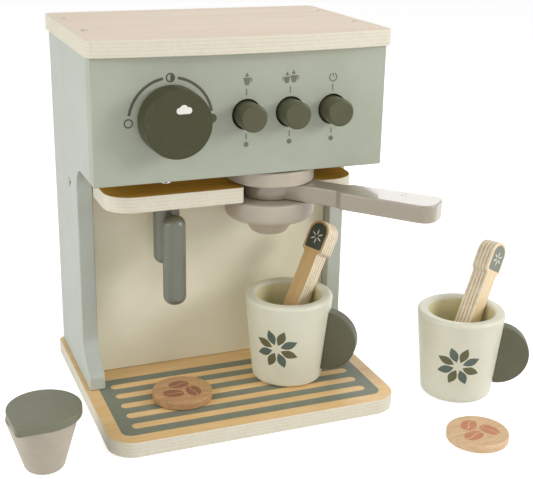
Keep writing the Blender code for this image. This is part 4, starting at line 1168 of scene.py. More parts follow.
@dataclass
class Carcass:
    """Boards of the machine: base, sides, control panel, back wall, shelf and top."""

    arris: float = 0.8 * MM
    ply_pitch: float = 2.6 * MM
    base_front_radius: float = 20 * MM
    base_back_radius: float = 6.5 * MM
    column_front: float = 10.0 * MM
    foot_reach: float = 21.0 * MM
    toe_rise: float = 11.5 * MM
    slope_rise: float = 16.0 * MM
    toe_radius: float = 6.0 * MM
    slope_radius: float = 16.0 * MM
    throat_radius: float = 16.0 * MM
    back_radius: float = 3.0 * MM
    top_corner_radius: float = 6.5 * MM
    top_bow: float = 8.0 * MM
    bow_steps: int = 40
    bow_end: float = 0.94       # share of the width beyond which the bow leaves room for the round corner
    axle_hole: float = 5.5 * MM
    button_hole: float = 11.2 * MM
    hole_length: float = 20 * MM
    shelf_corner_radius: float = 20.5 * MM
    slot_half_width: float = 28.3 * MM
    slot_left_radius: float = 3.0 * MM
    slot_right_radius: float = 11.0 * MM

    def finish_flat(self, piece: bpy.types.Object, node: str, veneer: Finish) -> None:
        """Put veneer on a flat board's faces and plies on its edges, even about the board's middle.

        Args:
            piece: Board to finish.
            node: Node that it stands for.
            veneer: Finish of its faces.
        """
        start = Vector((0, 0, middle(node).z - self.ply_pitch / 2))
        edge = PlyEdge(f"birch_plywood_edge_sanded_{node}", "#E0DAC8", "#C8B894", start, pitch=self.ply_pitch)
        dress(piece, veneer, edge, lambda face: abs(face.normal.z) < FLAT_FACE)
        settle(piece, "machine", "birch_plywood", node)

    def build_base(self) -> None:
        """Base board of birch plywood with rounded corners."""
        low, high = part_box("base_board")
        outline = rectangle(low.xy, high.xy, self.base_front_radius, self.base_back_radius, 16)
        piece = slab("tray_base_plywood", outline, Matrix(), low.z, high.z)
        sand(piece, self.arris)
        for side in Side:
            seat(piece, f"base_screw_{side.value}_front", f"base_screw_{side.value}_back",
                 f"wall_screw_{side.value}")
        self.finish_flat(piece, "base_board", TRAY_VENEER)

    def build_side(self, side: Side) -> None:
        """Painted side panel: deep head, set-back column and flared foot.

        Args:
            side: Which of the two panels.
        """
        name = side.value
        low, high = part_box(f"{name}_side_panel")
        head_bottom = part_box("control_panel")[0].z
        toe = self.column_front - self.foot_reach
        rise = low.z + self.toe_rise
        outline = rounded([(toe, low.z, 0), (high.y, low.z, 0), (high.y, high.z, self.back_radius),
                           (low.y, high.z, 0), (low.y, head_bottom, 0),
                           (self.column_front, head_bottom, self.throat_radius),
                           (self.column_front, rise + self.slope_rise, self.slope_radius),
                           (toe, rise, self.toe_radius)], steps=12)
        stand = Matrix(((0, 0, 1, low.x), (1, 0, 0, 0), (0, 1, 0, 0), (0, 0, 0, 1)))
        piece = slab(f"{name}_side_board", outline, stand, 0, high.x - low.x)
        sand(piece, self.arris)
        seat(piece, *(f"{kind}_screw_{name}_{end}" for end in ("front", "back") for kind in ("top", "base")),
             *(f"panel_dowel_{name}_{end}" for end in ("lower", "upper")), f"shelf_screw_{name}")
        dress(piece, SAGE_SIDE)
        settle(piece, "machine", "sage_paint", f"{name}_side_panel")

    def build_panel(self) -> None:
        """Painted control panel with its axle hole and button holes."""
        low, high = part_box("control_panel")
        piece = slab("control_panel_board", rectangle(low.xz, high.xz), FACING_FRONT, -high.y, -low.y)
        sand(piece, self.arris)
        holes = {"dial": self.axle_hole, **{f"button_{i}": self.button_hole for i in (1, 2, 3)}}
        for node, radius in holes.items():
            spot = middle(node)
            drill(piece, Vector((spot.x, (low.y + high.y) / 2, spot.z)), Axis.Y, radius, self.hole_length)
        seat(piece, "guide_dowel_1", "guide_dowel_2",
             *(f"panel_dowel_{side.value}_{end}" for side in Side for end in ("lower", "upper")))
        # The front board takes the sage paint darkened as painted shade.
        dress(piece, SAGE_PANEL_SHADED)
        settle(piece, "machine", "sage_paint", "control_panel")

    def build_wall(self) -> None:
        """Cream back wall behind the tray."""
        low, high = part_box("back_wall")
        piece = slab("cream_back_board", rectangle(low.xz, high.xz), FACING_FRONT, -high.y, -low.y)
        sand(piece, self.arris / 2)
        seat(piece, *(f"wall_screw_{side.value}" for side in Side))
        dress(piece, CREAM_WALL)
        settle(piece, "machine", "cream_paint", "back_wall")

    def slot(self, front: float) -> Outline:
        """Return the outline of the shelf's slot as a notch in its front edge.

        Args:
            front: Y of the shelf's front edge.

        Returns:
            The notch's points from left to right.
        """
        x, y, _ = on_axis("filter_disc")
        half, left, right = self.slot_half_width, self.slot_left_radius, self.slot_right_radius
        points = arc((x - half - left, front + left), left, -90, 90, 8)
        points += arc((x, y), half, 180, -180, 48)
        return points + arc((x + half + right, front + right), right, 180, 90, 16)

    def build_shelf(self) -> None:
        """Plywood shelf with the portafilter's round-ended slot in its front edge."""
        low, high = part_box("shelf")
        radius = self.shelf_corner_radius
        left = arc((low.x + radius, low.y + radius), radius, 180, 90, 16)
        right = arc((high.x - radius, low.y + radius), radius, -90, 90, 16)
        outline = left + self.slot(low.y) + right + [Vector((high.x, high.y)), Vector((low.x, high.y))]
        piece = slab("portafilter_shelf_plywood", outline, Matrix(), low.z, high.z)
        sand(piece, self.arris)
        seat(piece, "wand_screw", "shelf_screw_left", "shelf_screw_right")
        # The shelf's veneer is darkened as painted shade, for the head above it.
        self.finish_flat(piece, "shelf", SHELF_VENEER_SHADED)

    def build_top(self) -> None:
        """Plywood top board whose front edge swells gently towards its middle."""
        low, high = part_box("top_board")
        corner, front = self.top_corner_radius, low.y + self.top_bow
        corners = [(high.x, high.y, corner), (low.x, high.y, corner)]
        for i in range(self.bow_steps + 1):
            across = 2 * i / self.bow_steps - 1
            if not self.bow_end < abs(across) < 1:
                radius = corner if abs(across) == 1 else 0
                corners.append((high.x * across, front - self.top_bow * (1 - across * across), radius))
        piece = slab("bowed_top_plywood", rounded(corners, steps=12), Matrix(), low.z, high.z)
        sand(piece, self.arris)
        seat(piece, *(f"top_screw_{side.value}_{end}" for side in Side for end in ("front", "back")))
        # The top's veneer is lightened partly as a painted reflection of the bright room.
        self.finish_flat(piece, "top_board", TOP_VENEER_WITH_PAINTED_SHEEN)

    def build(self) -> None:
        """Build every board."""
        self.build_base()
        for side in Side:
            self.build_side(side)
        self.build_panel()
        self.build_wall()
        self.build_shelf()
        self.build_top()


@dataclass
class TrayPrint:
    """Printed drip grille on the base board: a rounded field with five bare slots."""

    half_width: float = 103 * MM
    front: float = -88 * MM
    back: float = 2.5 * MM
    corner_radius: float = 8 * MM
    slot_width: float = 7.8 * MM
    slot_reach: float = 93.7 * MM
    first_slot: float = -10.3 * MM
    slot_pitch: float = 16.25 * MM
    slot_count: int = 5

    def build(self) -> None:
        """Print the field and leave its slots bare."""
        top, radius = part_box("base_board")[1].z, self.corner_radius
        outline = rectangle((-self.half_width, self.front), (self.half_width, self.back), radius, radius, 12)
        piece = print_shapes("drip_grille_print", [outline], Matrix(), top)
        reach = self.slot_reach - self.slot_width / 2
        for i in range(self.slot_count):
            y = self.first_slot - self.slot_pitch * i
            bare = stadium((-reach, y), (reach, y), self.slot_width)
            combine(piece, slab("bare_slot", bare, Matrix(), top - MM, top + MM))
        dress(piece, GRILLE_INK)
        settle(piece, "machine", "grey_green_paint")


@dataclass(frozen=True)
class CupMark:
    """Small cup seen from the side with a wisp of steam over it.

    Its place is the middle of its rim, and the steam's place and height are counted from there.
    """

    place: Point
    size: float
    steam_place: Point
    steam_height: float
    handle: Side = Side.RIGHT
    foot_share: float = 0.27
    depth_share: float = 0.92
    loop_shares: tuple[float, ...] = (0.42, 0.28, 0.23, 0.13)   # the handle's place, radius and width

    def cup(self) -> list[Outline]:
        """Return the overlapping outlines of bowl and handle.

        Returns:
            The outlines.
        """
        (x, z), size = self.place, self.size
        rim, foot, low, corner = size / 2, size * self.foot_share, z - size * self.depth_share, size * 0.2
        bowl = rounded([(x - rim, z, 0), (x - foot, low, corner), (x + foot, low, corner), (x + rim, z, 0)])
        out, down, radius, width = (size * share for share in self.loop_shares)
        sign, start = (1, -80) if self.handle is Side.RIGHT else (-1, 100)
        return [bowl, band((x + sign * out, z - down), radius, width, start, 160, 16)]

    def steam(self) -> Outline:
        """Return the outline of the wisp of steam.

        Returns:
            The outline.
        """
        (x, z), height = self.steam_place, self.steam_height
        pairs = ((-0.45, 0), (0.45, 0), (0.52, 0.30), (0.20, 0.60), (0.04, 1.0), (-0.18, 0.60), (-0.48, 0.34))
        return [Vector((x + u * height * 0.75, z + v * height)) for u, v in pairs]


@dataclass
class PanelPrint:
    """Printed marks on the control panel: the dial's scale and each button's ticks, dot and icon."""

    scale_radius: float = 30.1 * MM
    scale_width: float = 2.0 * MM
    scale_shift: Point = (-0.35 * MM, -1.05 * MM)
    scale_gap: float = 2.0 * MM
    spot_radius: float = 3.3 * MM
    spot_line: float = 1.0 * MM
    spot_room: float = 0.05 * MM
    mark_shift: float = -0.4 * MM
    tick_width: float = 0.8 * MM
    ticks: tuple[Point, ...] = ((13.9 * MM, 18.1 * MM), (-17.8 * MM, -14.0 * MM))
    dot_drop: float = 21.8 * MM
    dot_radius: float = 1.9 * MM
    one_cup: tuple[CupMark, ...] = (
        CupMark((-0.2 * MM, 26.2 * MM), 5.8 * MM, (-0.2 * MM, 26.8 * MM), 3.4 * MM),)
    two_cups: tuple[CupMark, ...] = (
        CupMark((-3.2 * MM, 25.4 * MM), 5.0 * MM, (-2.9 * MM, 26.2 * MM), 3.2 * MM, Side.LEFT),
        CupMark((2.2 * MM, 26.2 * MM), 5.6 * MM, (1.9 * MM, 27.0 * MM), 3.4 * MM))
    power_centre: Point = (-0.3 * MM, 23.3 * MM)
    power_radius: float = 2.85 * MM
    power_bar: Point = (0.5 * MM, 2.9 * MM)

    def face(self, node: str) -> Matrix:
        """Return the placement of the panel's face about the axis of a dial or button."""
        spot = middle(node)
        return Matrix.Translation((spot.x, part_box("control_panel")[0].y, spot.z)) @ FACING_FRONT

    def finish(self, piece: bpy.types.Object, ink: Finish) -> None:
        """Dress a print and tie it to the machine."""
        dress(piece, ink)
        settle(piece, "machine", "olive_paint")

    def build_scale(self) -> None:
        """Arc over the dial with an open, a half-filled and a filled spot."""
        place = self.face("dial") @ Matrix.Translation((*self.scale_shift, 0))
        reach, spot, line = self.scale_radius, self.spot_radius, self.spot_line
        gap = math.degrees((spot + self.scale_gap) / reach)
        arcs = [band((0, 0), reach, self.scale_width, start + gap, 90 - 2 * gap) for start in (0, 90)]
        self.finish(print_shapes("dial_scale_print", arcs, place), DIAL_INK)
        rings = [ring_print("spot_ring", place, centre, spot - line / 2, line)
                 for centre in ((-reach, 0), (0, reach))]
        self.finish(join("dial_spot_rings_print", rings), DIAL_INK)
        half = arc((0, reach), spot - line - self.spot_room, -90, 180, 24)
        self.finish(print_shapes("dial_spots_print", [half, disc((reach, 0), spot)], place), DIAL_INK)

    def build_cups(self, name: str, marks: Sequence[CupMark], node: str) -> None:
        """Print cups with steam over a button.

        Args:
            name: Name of the print.
            marks: The cups.
            node: The button's node.
        """
        place = self.face(node)
        layers = [print_shapes("cup", mark.cup(), place, fused=True) for mark in marks]
        layers.append(print_shapes("steam", [mark.steam() for mark in marks], place))
        self.finish(join(name, layers), MARK_INK)

    def build_power(self) -> None:
        """Print the power sign over the third button."""
        x, z = self.power_centre
        low, high = self.power_bar
        shapes = [band((x, z), self.power_radius, self.tick_width, 116, 308),
                  stadium((x, z + low), (x, z + high), self.tick_width, 6)]
        self.finish(print_shapes("power_icon_print", shapes, self.face("button_3")), MARK_INK)

    def build_ticks(self) -> None:
        """Two short ticks and a dot in line with each button."""
        x = self.mark_shift
        shapes = [stadium((x, low), (x, high), self.tick_width, 6) for low, high in self.ticks]
        shapes.append(disc((x, -self.dot_drop), self.dot_radius))
        for i in (1, 2, 3):
            self.finish(print_shapes(f"button_{i}_ticks_print", shapes, self.face(f"button_{i}")), MARK_INK)

    def build(self) -> None:
        """Print everything on the panel."""
        self.build_scale()
        self.build_cups("one_cup_icon_print", self.one_cup, "button_1")
        self.build_cups("two_cups_icon_print", self.two_cups, "button_2")
        self.build_power()
        self.build_ticks()


@dataclass
class Dial:
    """Turned dial with a cloud printed off its centre."""

    face_radius: float = 24.1 * MM
    edge_radius: float = 1.0 * MM
    back_edge: float = 0.4 * MM
    axle_hole: float = 5.3 * MM
    seat_depth: float = 11.0 * MM
    cloud_place: Point = (3.7 * MM, 10.2 * MM)
    cloud_width: float = 11.0 * MM

    def build(self) -> None:
        """Turn the dial and print its cloud."""
        low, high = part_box("dial")
        spot = middle("dial")
        back, depth, radius = Vector((spot.x, high.y, spot.z)), high.y - low.y, (high.z - low.z) / 2
        corners = [(0, depth, 0), (self.face_radius, depth, self.edge_radius), (radius, 0, self.back_edge),
                   (self.axle_hole, 0, 0), (self.axle_hole, self.seat_depth, 0), (0, self.seat_depth, 0)]
        dial = turn_on_lathe("control_dial_turned", corners, back, FORWARD, 128)
        dress(dial, TurnedPaint("dark_olive_satin_paint_on_turned_dial", "#3F3F24", "#3C3C22", back, Axis.Y,
                                roughness=0.36, gloss=0.3, speckle=0.3))
        settle(dial, "dial_unit", "olive_paint", "dial")
        place = Matrix.Translation(back) @ FACING_FRONT
        mark = print_shapes("dial_cloud_print", cloud(self.cloud_place, self.cloud_width), place, depth,
                            fused=True)
        dress(mark, WHITE_INK)
        settle(mark, "dial_unit", "ivory_paint")


@dataclass
class PushButtons:
    """Three turned push buttons with flanges behind the panel and stems in the guide board."""

    radius: float = 9.9 * MM
    proud: float = 16.5 * MM
    edge_radius: float = 1.8 * MM
    flange_radius: float = 12.8 * MM
    flange_thickness: float = 3.0 * MM
    flange_edge: float = 0.3 * MM
    stem_radius: float = 4.0 * MM
    stem_edge: float = 0.6 * MM
    bodies: tuple[str, ...] = ("left_button", "middle_button", "right_button")

    def build(self) -> None:
        """Turn one button and copy it."""
        spot, stem_back = middle("button_1"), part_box("button_1")[1].y
        board_low, board_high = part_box("control_panel")
        origin = Vector((spot.x, board_high.y, spot.z))
        cap = board_high.y - board_low.y + self.proud
        flange, end = -FIT_GAP - self.flange_thickness, board_high.y - stem_back
        corners = [(0, cap, 0), (self.radius, cap, self.edge_radius), (self.radius, -FIT_GAP, 0),
                   (self.flange_radius, -FIT_GAP, self.flange_edge),
                   (self.flange_radius, flange, self.flange_edge), (self.stem_radius, flange, 0),
                   (self.stem_radius, end, self.stem_edge), (0, end, 0)]
        first = turn_on_lathe("push_button_1_turned", corners, origin, FORWARD)
        shifts = [middle(f"button_{i}") - spot for i in (1, 2, 3)]
        copies = [copy_piece(first, f"push_button_{i}_turned", Matrix.Translation(shifts[i - 1]))
                  for i in (2, 3)]
        for i, (piece, body, shift) in enumerate(zip([first, *copies], self.bodies, shifts), start=1):
            dress(piece, TurnedPaint(f"dark_olive_satin_paint_on_turned_button_{i}", "#545439", "#4E4E35",
                                     origin + shift, Axis.Y, roughness=0.32, ring_mm=0.7, ring_depth=1.2,
                                     gloss=0.35))
            settle(piece, body, "olive_paint", f"button_{i}")


@dataclass
class Portafilter:
    """Filter disc, handle board and funnel on one dowel."""

    edge_radius: float = 1.5 * MM
    basket_radius: float = 24.5 * MM
    basket_depth: float = 6.6 * MM
    basket_edge: float = 0.8 * MM
    bore: float = 5.3 * MM
    waist_radius: float = 20.0 * MM
    neck_half: float = 9.2 * MM
    neck_reach: float = 59.0 * MM
    shoulder: float = 5.0 * MM
    grip_start_half: float = 12.5 * MM
    grip_end_half: float = 15.2 * MM
    reach: float = 135.0 * MM
    grip_corner: float = 10.5 * MM
    shoulder_radius: float = 4.0 * MM
    angle: float = math.radians(-48)
    funnel_side: float = 15.0 * MM
    funnel_taper: float = 5.5 * MM
    undercut: float = 6.0 * MM
    spout_top: float = 18.8 * MM
    spout_top_edge: float = 1.0 * MM
    spout_bottom: float = 13.0 * MM
    spout_edge: float = 4.5 * MM
    dowel_seat: float = 14.0 * MM
    sanding: float = 1.0 * MM
    cloud_place: Point = (106 * MM, 6.5 * MM)
    cloud_width: float = 8.0 * MM
    cloud_heading: float = 100.0

    def turn_piece(self, name: str, node: str, wood: str, corners: Sequence[Corner]) -> None:
        """Turn the disc or the funnel and paint it.

        Args:
            name: Name of the piece.
            node: Node that it stands for.
            wood: What the paint's name calls the piece.
            corners: Corners of its profile.
        """
        centre = on_axis(node)
        piece = turn_on_lathe(name, corners, centre, steps=128)
        dress(piece, TurnedPaint(f"taupe_satin_paint_on_turned_{wood}", "#BFB4A3", "#B8AD9C", centre, Axis.Z,
                                 roughness=0.38, ring_depth=0.3))
        settle(piece, "portafilter", "taupe_paint", node)

    def build_disc(self) -> None:
        """Upper disc with its basket recess."""
        low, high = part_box("filter_disc")
        radius = (high.x - low.x) / 2
        basket, dowel_top = high.z - self.basket_depth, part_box("filter_dowel")[1].z + FIT_GAP
        self.turn_piece("filter_disc_turned", "filter_disc", "filter_disc", [
            (0, basket, 0), (self.basket_radius, basket, self.basket_edge),
            (self.basket_radius, high.z, self.basket_edge), (radius, high.z, self.edge_radius),
            (radius, low.z, self.edge_radius), (self.bore, low.z, 0), (self.bore, dowel_top, 0),
            (0, dowel_top, 0)])

    def build_funnel(self) -> None:
        """Lower funnel with its spout."""
        low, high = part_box("filter_funnel")
        radius, side_low = (high.x - low.x) / 2, high.z - self.funnel_side
        seat_low = high.z - self.dowel_seat - FIT_GAP
        self.turn_piece("drip_funnel_turned", "filter_funnel", "funnel", [
            (0, seat_low, 0), (self.bore, seat_low, 0), (self.bore, high.z, 0),
            (radius, high.z, self.edge_radius), (radius, side_low, self.undercut),
            (self.spout_top, side_low - self.funnel_taper, self.spout_top_edge),
            (self.spout_bottom, low.z, self.spout_edge), (0, low.z, 0)])

    def build_handle(self) -> None:
        """Handle board with a round waist, a neck and a widening grip."""
        low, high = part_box("portafilter_handle")
        place = Matrix.Translation(on_axis("filter_disc")) @ Matrix.Rotation(self.angle, 4, "Z")
        neck, grip, end, bend = self.neck_half, self.grip_start_half, self.grip_end_half, self.shoulder_radius
        start = self.neck_reach + self.shoulder
        root = math.sqrt(self.waist_radius ** 2 - neck ** 2)
        edge = math.degrees(math.asin(neck / self.waist_radius))
        lower = [(root, -neck, 0), (self.neck_reach, -neck, bend), (start, -grip, bend),
                 (self.reach, -end, self.grip_corner)]
        upper = [(u, -v, radius) for u, v, radius in reversed(lower)]
        waist = arc((0, 0), self.waist_radius, edge, 360 - 2 * edge, 64)[1:-1]
        outline = rounded(lower + upper, steps=12) + waist
        piece = slab("portafilter_handle_board", outline, place, low.z, high.z)
        sand(piece, self.sanding)
        seat(piece, "filter_dowel")
        dress(piece, HANDLE_GLOSS)
        settle(piece, "portafilter", "taupe_paint", "portafilter_handle")
        shapes = cloud(self.cloud_place, self.cloud_width, self.cloud_heading)
        mark = print_shapes("handle_cloud_print", shapes, place, high.z, fused=True)
        dress(mark, WHITE_INK)
        settle(mark, "portafilter", "ivory_paint")

    def build(self) -> None:
        """Build the three pieces."""
        self.build_disc()
        self.build_funnel()
        self.build_handle()


@dataclass
class SteamWand:
    """Post under the shelf and the wand that swings in front of it on a hidden pin."""

    post_top_edge: float = 0.4 * MM
    post_end_radius: float = 6.0 * MM
    wand_end_radius: float = 6.8 * MM
    pin_radius: float = 2.5 * MM
    pin_room: float = 0.3 * MM
    front_wall: float = 4.0 * MM

    def rod(self, name: str, node: str, upper: float, lower: float) -> bpy.types.Object:
        """Turn an upright rod with rounded ends and paint it.

        Args:
            name: Name of the piece.
            node: Node that it stands for.
            upper: Radius of its upper end's edge.
            lower: Radius of its lower end's edge.

        Returns:
            The rod.
        """
        low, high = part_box(node)
        centre, radius = on_axis(node), (high.x - low.x) / 2
        corners = [(0, high.z, 0), (radius, high.z, upper), (radius, low.z, lower), (0, low.z, 0)]
        piece = turn_on_lathe(name, corners, centre, facets=12)
        dress(piece, TurnedPaint(f"grey_green_satin_paint_on_turned_{node}", "#6C6F60", "#676A5B", centre,
                                 Axis.Z, roughness=0.34, ring_depth=0.2, coat=0.3))
        return piece

    def build(self) -> None:
        """Turn the post, the wand and their pin."""
        spot, pin_back = middle("wand_pin"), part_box("wand_pin")[1].y
        front = Vector((spot.x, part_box("steam_wand")[0].y + self.front_wall, spot.z))
        length, room, radius = pin_back - front.y, self.pin_room, self.pin_radius
        bore = front + Vector((0, length / 2, 0))
        post = self.rod("wand_post_turned", "wand_post", self.post_top_edge, self.post_end_radius)
        seat(post, "wand_screw")
        drill(post, bore, Axis.Y, radius + room, length + 2 * room)
        settle(post, "machine", "grey_green_paint", "wand_post")
        wand = self.rod("steam_wand_turned", "steam_wand", self.wand_end_radius, self.wand_end_radius)
        drill(wand, bore, Axis.Y, radius + 2 * room, length + 2 * room)
        settle(wand, "wand", "grey_green_paint", "steam_wand")
        corners = [(0, 0, 0), (radius, 0, room), (radius, length, room), (0, length, 0)]
        pin = turn_on_lathe("wand_pin_drawn", corners, front, -FORWARD, 48)
        dress(pin, STEEL)
        settle(pin, "machine", "zinc_steel", "wand_pin")


@dataclass
class CupSet:
    """Two tapered cups with half-disc handles and a printed rosette of leaves."""

    rim_radius: float = 34.8 * MM
    base_radius: float = 27.7 * MM
    mouth_radius: float = 26.0 * MM
    well_radius: float = 21.5 * MM
    floor: float = 8.0 * MM
    lip_radius: float = 3.0 * MM
    base_edge: float = 3.2 * MM
    handle_radius: float = 24.5 * MM
    handle_thickness: float = 11.0 * MM
    handle_centre: float = 31.0 * MM
    handle_height: float = 34.0 * MM
    handle_angle: float = math.radians(-36)
    handle_turn: float = math.radians(8)
    handle_edge: float = 1.2 * MM
    print_heading: float = math.radians(-129)
    print_height: float = 34.0 * MM
    print_span: Point = (8 * MM, 60 * MM)
    print_reach: Point = (20 * MM, 45 * MM)
    petal_foot: float = 3.6 * MM
    petal_tip: float = 17.0 * MM
    petal_width: float = 6.6 * MM
    petal_count: int = 8
    petal_heading: float = 22.5

    def base(self, side: Side) -> Vector:
        """Return the middle of a cup's underside."""
        node = f"{side.value}_cup"
        return on_axis(node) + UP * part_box(node)[0].z

    def turn_cup(self, centre: Vector, height: float) -> bpy.types.Object:
        """Turn a cup with its well.

        Args:
            centre: Middle of its underside.
            height: Its height.

        Returns:
            The cup.
        """
        lip = self.lip_radius
        corners = [(0, self.floor, 0), (self.well_radius, self.floor, lip), (self.mouth_radius, height, lip),
                   (self.rim_radius, height, lip), (self.base_radius, 0, self.base_edge), (0, 0, 0)]
        return turn_on_lathe("left_cup_turned", corners, centre, steps=144, facets=10)

    def cut_handle(self, centre: Vector, height: float) -> bpy.types.Object:
        """Cut a handle out of a disc, fitted to the cup's side.

        Args:
            centre: Middle of the cup's underside.
            height: The cup's height.

        Returns:
            The handle.
        """
        thickness, radius, edge = self.handle_thickness, self.handle_radius, self.handle_edge
        place = (Matrix.Translation(centre) @ Matrix.Rotation(self.handle_angle, 4, "Z")
                 @ Matrix.Translation((self.handle_centre, thickness / 2, self.handle_height)) @ FACING_FRONT)
        corners = [(0, 0, 0), (radius, 0, edge), (radius, thickness, edge), (0, thickness, 0)]
        axis = (place.to_3x3() @ UP).normalized()
        handle = turn_on_lathe("left_cup_handle_disc", corners, place.translation, axis, 128, 5)
        core = [(0, -FIT_GAP, 0), (self.base_radius + FIT_GAP, -FIT_GAP, 0),
                (self.rim_radius + FIT_GAP, height + FIT_GAP, 0), (0, height + FIT_GAP, 0)]
        combine(handle, turn_on_lathe("cup_core", core, centre, steps=144))
        return handle

    def ink_layer(self, centre: Vector, height: float) -> bpy.types.Object:
        """Turn the thin shell of ink from which a print on the cup's side is cut.

        Args:
            centre: Middle of the cup's underside.
            height: The cup's height.

        Returns:
            The shell.
        """
        low, high = self.print_span
        slope = (self.rim_radius - self.base_radius) / height
        start, end = (self.base_radius + slope * h for h in (low, high))
        corners = [(start - PRINT_KEY, low, 0), (start + PRINT_PROUD, low, 0), (end + PRINT_PROUD, high, 0),
                   (end - PRINT_KEY, high, 0), (start - PRINT_KEY, low, 0)]
        return turn_on_lathe("ink_layer", corners, centre, steps=144)

    def in_well(self, face: bpy.types.MeshPolygon, centre: Vector, height: float) -> bool:
        """Tell whether a face of a cup lies in its well, below the rounded lip.

        Args:
            face: Face of the cup.
            centre: Middle of the cup's underside.
            height: The cup's height.

        Returns:
            Whether it does.
        """
        inward = (face.center.xy - centre.xy).dot(face.normal.xy) < 0 or face.normal.z > FLAT_FACE
        low = centre.z + self.floor - MM
        return inward and low < face.center.z < centre.z + height - self.lip_radius

    def print_rosette(self, centre: Vector, height: float) -> list[bpy.types.Object]:
        """Print a rosette of alternating green and brown leaves on the cup's side.

        Args:
            centre: Middle of the cup's underside.
            height: The cup's height.

        Returns:
            The green and the brown leaves.
        """
        place = (Matrix.Translation(centre + UP * self.print_height)
                 @ Matrix.Rotation(self.print_heading + math.pi / 2, 4, "Z") @ FACING_FRONT)
        prints = []
        for first, colour in enumerate(("green", "brown")):
            headings = (self.petal_heading + 360 * i / self.petal_count
                        for i in range(first, self.petal_count, 2))
            petals = [slab("leaf", petal(self.petal_foot, self.petal_tip, self.petal_width, heading), place,
                           *self.print_reach) for heading in headings]
            piece = join(f"left_cup_{colour}_leaves_print", petals)
            combine(piece, self.ink_layer(centre, height), Work.CROSS)
            prints.append(piece)
        return prints

    def finish(self, side: Side, pieces: Sequence[bpy.types.Object], height: float) -> None:
        """Dress one cup's pieces and tie them to its body.

        Args:
            side: Which of the two cups.
            pieces: Cup, handle, green leaves and brown leaves.
            height: The cup's height.
        """
        cup, handle, green, brown = pieces
        name, centre = side.value, self.base(side)
        body = f"{name}_cup_unit"
        outside = TurnedPaint(f"ivory_satin_paint_on_turned_{name}_cup", "#DCDAC6", "#D8D6C1", centre, Axis.Z,
                              roughness=0.36, ring_mm=1.8, ring_depth=0.15)
        # The well takes a warmer, yellower copy of the ivory paint as painted light: warm light bounced round
        # inside the cup.
        inside = TurnedPaint(f"ivory_satin_paint_in_{name}_cup_well", "#E2DBB2", "#DBD4A8", centre, Axis.Z,
                             ring_mm=1.8, ring_depth=0.3)
        dress(cup, outside, inside, lambda face: self.in_well(face, centre, height))
        settle(cup, body, "ivory_paint", f"{name}_cup", smooth=35)
        dress(handle, CUP_HANDLE_PAINT)
        settle(handle, body, "olive_paint", f"{name}_cup_handle")
        for piece, ink in ((green, LEAF_INK), (brown, MOSS_INK)):
            dress(piece, ink)
            settle(piece, body, "olive_paint")

    def build(self) -> None:
        """Build the left cup and copy it for the right one."""
        left, right = self.base(Side.LEFT), self.base(Side.RIGHT)
        low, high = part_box("left_cup")
        height = high.z - low.z
        pieces = [self.turn_cup(left, height), self.cut_handle(left, height),
                  *self.print_rosette(left, height)]
        turn = Matrix.Rotation(self.handle_turn, 4, "Z")
        move = Matrix.Translation(right) @ turn @ Matrix.Translation(-left)
        for side, each in copy_to_right(pieces, move).items():
            self.finish(side, each, height)


@dataclass(frozen=True)
class Lean:
    """How a stirrer stands in its cup: place of its axis at the rim from the cup's, and turns in degrees."""

    offset: Point
    heading: float
    lean: float
    twist: float


